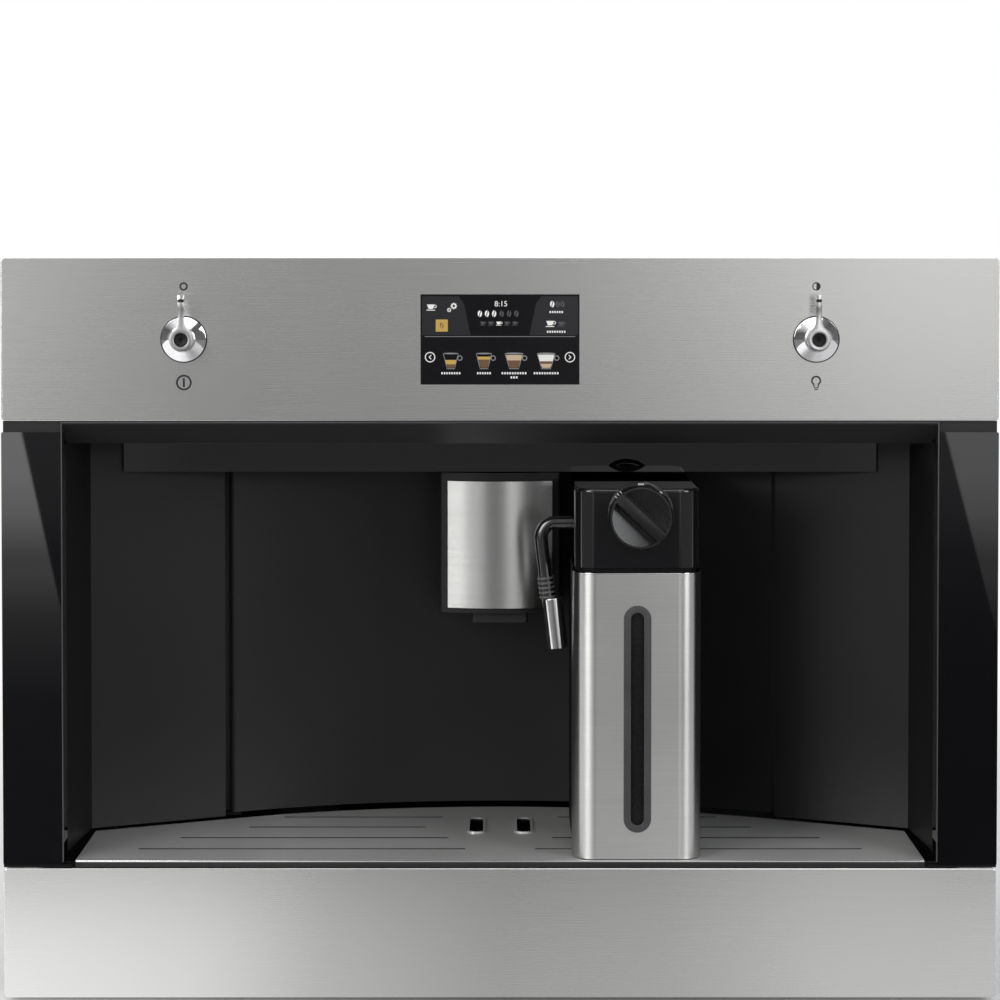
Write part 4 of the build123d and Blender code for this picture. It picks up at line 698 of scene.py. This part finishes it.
def ring(name, x, z, outer, inner, depth, thick):
    piece = roundBar(name, (x, depth, z), outer, thick, 40)
    hole = roundBar("hole", (x, depth, z), inner, thick * 4, 40)
    return combine(piece, hole, "DIFFERENCE")


def disc(name, x, z, radius, depth, thick, stretch=(1, 1)):
    return roundBar(name, (x, depth, z), radius, thick, 28, stretch)


def slab(name, x, z, width, height, depth, thick, turn=0.0):
    return block(name, (x - width / 2, x + width / 2), (depth - thick / 2, depth + thick / 2),
                 (z - height / 2, z + height / 2), (0, turn, 0))


def makeSigns(look):
    depth, thick = look["sunk"] - look["thick"] / 2, look["thick"]
    left, right, top, low = -leverLook["x"], leverLook["x"], look["topZ"], look["lowZ"]
    parts = [ring("sign", left, top, *look["smallRing"], depth, thick),
             ring("sign", left, low, *look["bigRing"], depth, thick),
             slab("sign", left, low, *look["bar"], depth, thick),
             ring("sign", right, top, *look["halfRing"], depth, thick)]
    half = disc("sign", right, top, look["halfRing"][1], depth, thick)
    cutAway(half, (right, 0, top), (-1, 0, 0))
    bulb = ring("sign", right, low + look["bulbRise"], *look["bulb"], depth, thick)
    cutAway(bulb, (right, 0, low - look["bulbCut"]), (0, 0, -1))
    parts += [half, bulb]
    for across, down, width, height, lean in look["bulbFoot"]:
        turn = math.radians(lean)
        parts.append(slab("sign", right + across, low - down, width, height, depth, thick, turn))
    finished(joined("panelSigns", parts), "printedInk", "machine")


makeSigns(signLook)
print("signs ready")


# screen: places are across and up from its middle, in millimetres

screenLook = {
    "z": 399.4, "front": 0.10, "back": 0.26,
    "colours": {
        "screenWhite": ((0.90, 0.90, 0.88), 0.95), "screenDim": ((0.50, 0.50, 0.52), 0.14),
        "screenTab": ((0.30, 0.31, 0.34), 0.022), "screenGold": ((0.86, 0.56, 0.12), 0.62),
        "screenBrown": ((0.40, 0.20, 0.09), 0.35), "screenCream": ((0.88, 0.68, 0.46), 0.60),
        "screenFoam": ((0.92, 0.90, 0.86), 0.85), "screenGlass": ((0.75, 0.76, 0.78), 0.30),
    },
    "dark": (0.01, 0.01, 0.012), "rough": 0.08, "pixel": 0.00028,
    "tab": (31.9, 14.2, 29.4, 23.2), "tabLift": 0.03,       # middle across and up, width, height
    "tabCuts": [(17.6, 2.6, 0.979, 0.206), (23.2, 23.6, 0.81, 0.59)],   # place of the cut, its normal
    "line": (0, 1.7, 90, 0.34), "lineLift": -0.01,
    "gears": [(-27.6, 20.0, 2.0), (-30.4, 17.6, 1.3)],
    "square": (-34.8, 8.3, 7.2),
    # rows of beans and cups: places across, height, size of a cup, which is lit
    "beanRows": [((-12.0, -7.8, -3.5, 1.0, 5.4, 9.8), 15.4, (0, 1, 2)), ((31.2, 34.4, 37.4), 21.1, (0,))],
    "cupRows": [((-41.4,), 19.4, 3.0, 0), ((-10.4, -5.6, -0.8, 4.0, 8.8), 9.7, 1.9, 2),
                ((29.9,), 9.6, 3.0, 0), ((36.4,), 9.4, 2.4, None)],
    "bean": (1.95, 0.66, 0.22, 14),     # radius, share of it across, half width and lean of its groove
    "arrow": (41.8, -10.6, 3.1, 2.55), "arrowBar": (1.9, 0.5, 0.55),
    # drinks along the foot: middle, half width of the rim, layers from the top (share of height, colour)
    "drinks": [(-29.4, 4.5, [(0.45, None), (0.30, "screenGold"), (0.25, "screenBrown")]),
               (-9.6, 4.6, [(0.22, None), (0.20, "screenGold"), (0.58, "screenBrown")]),
               (8.4, 5.4, [(0.10, None), (0.38, "screenCream"), (0.52, "screenBrown")]),
               (27.6, 5.4, [(0.08, None), (0.46, "screenFoam"), (0.18, "screenBrown"),
                            (0.28, "screenCream")])],
    "drinkTop": -8.4, "drinkFoot": -17.0, "drinkSlim": 0.52, "drinkBelly": 1.6, "drinkWall": 0.5,
    # words are rows of dashes: middle, height, length
    "words": [(-29.4, -20.2, 12.0), (-9.6, -20.2, 8.8), (8.4, -20.2, 15.4), (27.6, -20.2, 15.4),
              (8.4, -22.7, 4.8), (33.6, 16.4, 8.6), (33.6, 4.6, 11.6)],
    "letter": 1.5, "letterShare": 0.6, "letterHeight": 1.25,
    "clock": "8:15", "clockPlace": (0.6, 19.8), "clockSize": 4.6,
}


def makeScreenColour(name, colour, strength):
    material = bpy.data.materials.new(name)
    material.use_nodes = True
    tree = material.node_tree
    tree.nodes.clear()
    start = Wire(tree)
    place = Wire(tree, start.node("TexCoord").owner.outputs["Object"])
    pixels = start.node("TexVoronoi", {"feature": "F1", "distance": "CHEBYCHEV"},
                        {"Vector": place, "Scale": 1 / screenLook["pixel"], "Randomness": 0.0})
    lit = (1 - pixels * 0.25).clamped().blend((0.0, 0.0, 0.0), colour)
    shader = start.node("BsdfPrincipled", None, {
        "Base Color": (*screenLook["dark"], 1), "Roughness": pixels * 0.1 + screenLook["rough"],
        "Emission Color": lit, "Emission Strength": strength})
    start.node("OutputMaterial", None, {"Surface": shader})
    materials[name] = material


class Screen:
    def __init__(self, look):
        self.look = look
        self.parts = {name: [] for name in look["colours"]}
        self.depth = (look["front"] + look["back"]) / 2
        self.thick = look["back"] - look["front"]

    def add(self, colour, piece):
        self.parts[colour].append(piece)
        return piece

    def bar(self, colour, x, up, width, height, turn=0.0, lift=0.0):
        return self.add(colour, slab(colour, x, self.look["z"] + up, width, height,
                                     self.depth + lift, self.thick, turn))

    def dot(self, colour, x, up, radius, stretch=(1, 1)):
        return self.add(colour, disc(colour, x, self.look["z"] + up, radius, self.depth, self.thick, stretch))

    def ring(self, colour, x, up, outer, inner):
        return self.add(colour, ring(colour, x, self.look["z"] + up, outer, inner, self.depth, self.thick))

    def taper(self, colour, x, top, foot, halfTop, halfFoot):
        piece = self.bar(colour, x, (top + foot) / 2, 2 * halfTop, top - foot)
        pick(piece, facing((0, 0, -1)))
        resizePicked((halfFoot / halfTop, 1, 1))
        leaveEdit()


def drawBean(screen, colour, x, up):
    radius, share, halfGroove, lean = screen.look["bean"]
    z = screen.look["z"] + up
    bean = screen.dot(colour, x, up, radius, (share, 1.0))
    groove = block("groove", (x - halfGroove, x + halfGroove), (-1, 1), (z - 3, z + 3),
                   (0, math.radians(lean), 0))
    combine(bean, groove, "DIFFERENCE")


def drawCup(screen, colour, x, up, size):
    screen.taper(colour, x, up + size * 0.5, up - size * 0.4, size * 0.75, size * 0.42)
    screen.ring(colour, x + size * 0.85, up + size * 0.12, size * 0.33, size * 0.2)
    screen.bar(colour, x, up - size * 0.62, size * 1.7, size * 0.16)


def drawGear(screen, x, up, radius, teeth=8):
    screen.ring("screenWhite", x, up, radius * 0.78, radius * 0.4)
    reach, tooth = radius * 0.86, radius * 0.26
    for index in range(teeth):
        angle = index * 2 * math.pi / teeth
        across, rise = reach * math.cos(angle), reach * math.sin(angle)
        screen.bar("screenWhite", x + across, up + rise, tooth, tooth, -angle)


def drawDrink(screen, x, half, layers):
    look = screen.look
    top, foot, wall = look["drinkTop"], look["drinkFoot"], look["drinkWall"]
    height, narrowing = top - foot, 1 - look["drinkSlim"]

    def halfAt(share):
        return half * (1 - narrowing * share ** look["drinkBelly"])

    share = 0.0
    for part, colour in layers:
        high, low = top - height * share, top - height * (share + part)
        if colour:
            screen.taper(colour, x, high, low, halfAt(share) - wall, halfAt(share + part) - wall)
        share += part
    screen.dot("screenGlass", x, top, half, (1.0, 0.10))
    for side in (-1, 1):
        lean = math.atan2(half * narrowing, height) * side
        screen.bar("screenGlass", x + side * (half + halfAt(1)) / 2, (top + foot) / 2, 0.35, height, lean)
    screen.bar("screenGlass", x, foot - 0.5, half * 1.1, 0.45)
    screen.ring("screenGlass", x + half + 0.9, top - height * 0.32, 1.6, 1.05)


def drawWord(screen, x, up, length):
    look = screen.look
    count = round(length / look["letter"])
    for index in range(count):
        letterX = x + ((index + 0.5) / count - 0.5) * length
        screen.bar("screenWhite", letterX, up, length / count * look["letterShare"], look["letterHeight"])


def makeScreen(look):
    for name, (colour, strength) in look["colours"].items():
        makeScreenColour(name, colour, strength)
    screen = Screen(look)
    tabX, *tabRest = look["tab"]
    for side in (-1, 1):
        tab = screen.bar("screenTab", side * tabX, *tabRest, lift=look["tabLift"])
        for x, up, slope, rise in look["tabCuts"]:
            cutAway(tab, (side * x, 0, look["z"] + up), (-side * slope, 0, rise))
    screen.bar("screenGlass", *look["line"], lift=look["lineLift"])
    for gear in look["gears"]:
        drawGear(screen, *gear)
    squareX, squareUp, size = look["square"]
    screen.bar("screenGold", squareX, squareUp, size, size)
    drawBean(screen, "screenBrown", squareX, squareUp)
    for xs, up, lit in look["beanRows"]:
        for index, x in enumerate(xs):
            drawBean(screen, "screenWhite" if index in lit else "screenDim", x, up)
    for xs, up, size, lit in look["cupRows"]:
        for index, x in enumerate(xs):
            drawCup(screen, "screenWhite" if index == lit else "screenDim", x, up, size)
    arrowX, arrowUp, *radii = look["arrow"]
    length, thick, shift = look["arrowBar"]
    for side in (-1, 1):
        screen.ring("screenWhite", side * arrowX, arrowUp, *radii)
        for up in (-1, 1):
            screen.bar("screenWhite", side * arrowX, arrowUp + up * shift, length, thick,
                       math.radians(45) * side * up)
    for drink in look["drinks"]:
        drawDrink(screen, *drink)
    for word in look["words"]:
        drawWord(screen, *word)
    startAlone()
    bpy.ops.object.text_add(location=(0, 0, 0))
    clock = bpy.context.object
    clock.data.body = look["clock"]
    clock.data.size = look["clockSize"] * mm
    clock.data.extrude = screen.thick / 2 * mm
    clock.data.align_x = "CENTER"
    bpy.ops.object.convert(target="MESH")
    clock = bpy.context.object
    clock.rotation_euler = (math.pi / 2, 0, 0)
    clockX, clockUp = look["clockPlace"]
    clock.location = at(clockX, screen.depth, look["z"] + clockUp)
    screen.add("screenWhite", settled("clock"))
    for colour, parts in screen.parts.items():
        piece = joined(colour + "Marks", parts)
        piece.data.materials.clear()
        finished(piece, colour, "machine")


makeScreen(screenLook)
print("screen ready")


# froth dial and its collar on the jug's lid

dialLook = {
    "x": 84.4, "z": 292.4, "radius": 18.5, "front": -3.15, "back": 5.85, "rim": 1.3,
    "turn": 43.0,                                  # degrees, down to the right
    "scoops": [(1, 11.0), (-1, 19.0)],             # side of the grip, slope of its floor in degrees
    "scoopStart": -2.55, "scoopEdge": 4.4,
    "scoopWall": (0.94, 0.34),                     # how far its wall faces the grip, and backwards
    "gripHalf": 2.8, "gripReach": 17.4, "gripRise": -4.3, "gripBack": 3.0,
    "stemRadius": 4.0, "stemEnd": 17.8, "stemInto": 1.0,
    "collarRadius": 19.8, "collarLift": 2.0, "collarFoot": 4.0, "collarFront": 0.2, "collarBack": 2.97,
    "collarGap": 0.35,
    # ticks: angle from the right, shift outwards, width, height
    "ticks": [(128, -0.6, 0.7, 1.7), (134, -0.6, 0.7, 1.7), (140, -0.6, 0.7, 1.7), (90, 0.1, 3.6, 1.1),
              (52, -0.6, 1.8, 1.0)],
    "tickSunk": 0.02, "tickThick": 0.1,
}


def makeFrothDial(look):
    x, z = look["x"], look["z"]
    dial = roundBar("frothDial", (x, (look["front"] + look["back"]) / 2, z), look["radius"],
                    look["back"] - look["front"], 128)
    turn = math.radians(look["turn"])
    out = Vector((math.sin(turn), 0, math.cos(turn)))     # square to the grip, up to the right
    back = Vector((0, 1, 0))
    inside = look["radius"] - look["rim"]
    towardsGrip, backwards = look["scoopWall"]
    for side, slope in look["scoops"]:
        away, tilt = out * side, math.radians(slope)
        scoop = roundBar("scoop", (x, -5, z), inside, 30, 128)
        foot = (x + away.x * inside, look["scoopStart"], z + away.z * inside)
        cutAway(scoop, foot, away * math.sin(tilt) + back * math.cos(tilt))
        edge = (x + away.x * look["scoopEdge"], 0, z + away.z * look["scoopEdge"])
        cutAway(scoop, edge, (back * backwards - away * towardsGrip).normalized())
        combine(dial, scoop, "DIFFERENCE")
    reach, half = look["gripReach"], look["gripHalf"]
    grip = block("grip", (x - reach, x + reach), (look["gripRise"], look["gripBack"]),
                 (z - half, z + half), (0, turn, 0))
    combine(dial, grip)
    stemStart = look["back"] - look["stemInto"]
    stem = roundBar("stem", (x, (stemStart + look["stemEnd"]) / 2, z), look["stemRadius"],
                    look["stemEnd"] - stemStart, 48)
    combine(dial, stem)
    finished(dial, "dialBlack", "froth_dial", ["froth_dial"], edge=0.35, segments=3)

    middle = (look["collarFront"] + look["collarBack"]) / 2
    collar = roundBar("dialCollar", (x, middle, z + look["collarLift"]), look["collarRadius"],
                      look["collarBack"] - look["collarFront"], 128)
    hole = roundBar("hole", (x, 0, z), look["radius"] + look["collarGap"], 20, 128)
    combine(collar, hole, "DIFFERENCE")
    cutAway(collar, (x, 0, z - look["collarFoot"]), (0, 0, -1))
    finished(collar, "glossBlack", "jug", edge=0.2)

    ticks = []
    depth = look["collarFront"] - look["tickSunk"]
    middle = look["radius"] + look["collarRadius"] + look["collarLift"]
    for angle, shift, width, height in look["ticks"]:
        spin, reach = math.radians(angle), middle / 2 + shift
        ticks.append(slab("tick", x + reach * math.cos(spin), z + reach * math.sin(spin), width, height,
                          depth, look["tickThick"], math.pi / 2 - spin))
    finished(joined("dialMarks", ticks), "whiteInk", "jug", edge=0.04)


makeFrothDial(dialLook)
print("dial ready")


# trim round the opening, fillers under the columns, window surround, rolled rim of the sleeve, ribs

trimLook = {"inside": 262.95, "width": 0.85, "depth": (-0.05, 0.9), "z": (85.0, 349.9), "beam": 0.7,
            "filler": (257.0, 298.3), "fillerZ": (81.9, 83.5), "fillerDepth": (0.2, 6.0)}


def makeOpeningTrim(look):
    # painted highlight: the strips' grey, lighter than the black round them, shows the light lines along the
    # opening's edges and the visor's top
    reach, (foot, head) = look["inside"], look["z"]
    parts = [block("upright", bothSides(side, reach - look["width"], reach), look["depth"], (foot, head))
             for side in (-1, 1)]
    parts.append(block("beam", (-reach, reach), look["depth"], (head - look["beam"], head)))
    finished(joined("openingTrim", parts), "windowFrame", "machine", edge=0.25)

    fillers = [block("filler", bothSides(side, *look["filler"]), look["fillerDepth"], look["fillerZ"])
               for side in (-1, 1)]
    finished(joined("columnFeet", fillers), "deepBlack", "machine", edge=0.2)


windowLook = {"x": 82.6, "z": 171.0, "corner": 0.49,     # corner: share of the width
              "outer": (16.4, 136.8, (1.7, 2.6)), "slot": (7.9, 128.3, (-2, 8))}     # width, height, depth


def makeWindowFrame(look):
    bars = []
    for name, width, height, depth in (("windowSurround", *look["outer"]), ("slot", *look["slot"])):
        xs = (look["x"] - width / 2, look["x"] + width / 2)
        zs = (look["z"] - height / 2, look["z"] + height / 2)
        bars.append(roundedBlock(name, xs, depth, zs, "y", width * look["corner"], 14))
    surround = combine(*bars, "DIFFERENCE")
    finished(surround, "windowFrame", "jug", edge=0.3, segments=3)


rimLook = {"x": (43.9, 121.3), "depth": (2.05, 80.0), "end": 35.8, "corner": 13.95, "wall": 0.75,
           "z": (258.3, 259.0), "holeZ": (253.3, 264.0)}


def makeSleeveRim(look):
    plates = []
    for name, inset, zs in (("sleeveRim", 0.0, look["z"]), ("inside", look["wall"], look["holeZ"])):
        (left, right), (near, far) = look["x"], look["depth"]
        plates.append(roundedBlock(name, (left + inset, right - inset), (near + inset, far - inset), zs,
                                   "z", look["corner"] - inset, 16))
    rim = combine(*plates, "DIFFERENCE")
    cutAway(rim, (0, look["end"], 0), (0, 1, 0))
    finished(rim, "nozzleSteel", "jug", edge=0.2)


ribLook = {"x": 24.2, "top": 285.3, "lean": 6.6, "depth": 50.0, "first": 239.35, "pitch": 2.88, "count": 5,
           "radius": 5.05, "height": 1.3}


def makeRibs(look):
    lean = math.radians(look["lean"])
    ribs = []
    for index in range(look["count"]):
        z = look["first"] + index * look["pitch"]
        x = look["x"] + (look["top"] - z) * math.tan(lean)
        ribs.append(roundBar("rib", (x, look["depth"], z), look["radius"], look["height"], 48,
                             turn=(0, -lean, 0)))
    finished(joined("pipeRibs", ribs), "ribRubber", "milk_spout", edge=0.35, segments=3)


makeOpeningTrim(trimLook)
makeWindowFrame(windowLook)
makeSleeveRim(rimLook)
makeRibs(ribLook)
print("trims ready")


# seals in the joints beside the door

sealLook = {
    "z": (89.6, 311.5), "lip": (171.6, 187.0), "lipThick": 1.6,
    "lipDepth": {-1: 135.9, 1: 133.4},              # behind the left wing and behind the right one
    "web": (179.4, 186.6), "webFront": 129.2, "webInto": 0.5,
    "wing": (177.2, 131.5, 200), "wingNormal": (0.40, -0.916),   # the web's front follows the wing
}


def makeSeals(look):
    parts = []
    (wingX, *wingRest), (across, ahead) = look["wing"], look["wingNormal"]
    for side in (-1, 1):
        back = look["lipDepth"][side]
        lip = block("lip", bothSides(side, *look["lip"]), (back, back + look["lipThick"]), look["z"])
        webDepth = (look["webFront"], back + look["webInto"])
        web = block("web", bothSides(side, *look["web"]), webDepth, look["z"])
        cutAway(web, (side * wingX, *wingRest), (side * across, ahead, 0))
        parts.append(combine(lip, web))
    finished(joined("jointSeals", parts), "rubber", "machine", edge=0.4)


# bright front edge of the drip grid, and the dark trim under it

gridLook = {"depth": (1.05, 1.5), "trimX": 251.5, "trimZ": (81.75, 84.9),
            "edgeX": 255.2, "edgeZ": (84.9, 85.75)}


def makeGridFront(look):
    trim = block("gridTrim", (-look["trimX"], look["trimX"]), look["depth"], look["trimZ"])
    finished(trim, "mattBlack", "drawer", edge=0.12)
    edge = block("gridEdge", (-look["edgeX"], look["edgeX"]), look["depth"], look["edgeZ"])
    finished(edge, "nozzleSteel", "drawer", edge=0.2)


makeSeals(sealLook)
makeGridFront(gridLook)
print("seals and grid front ready")
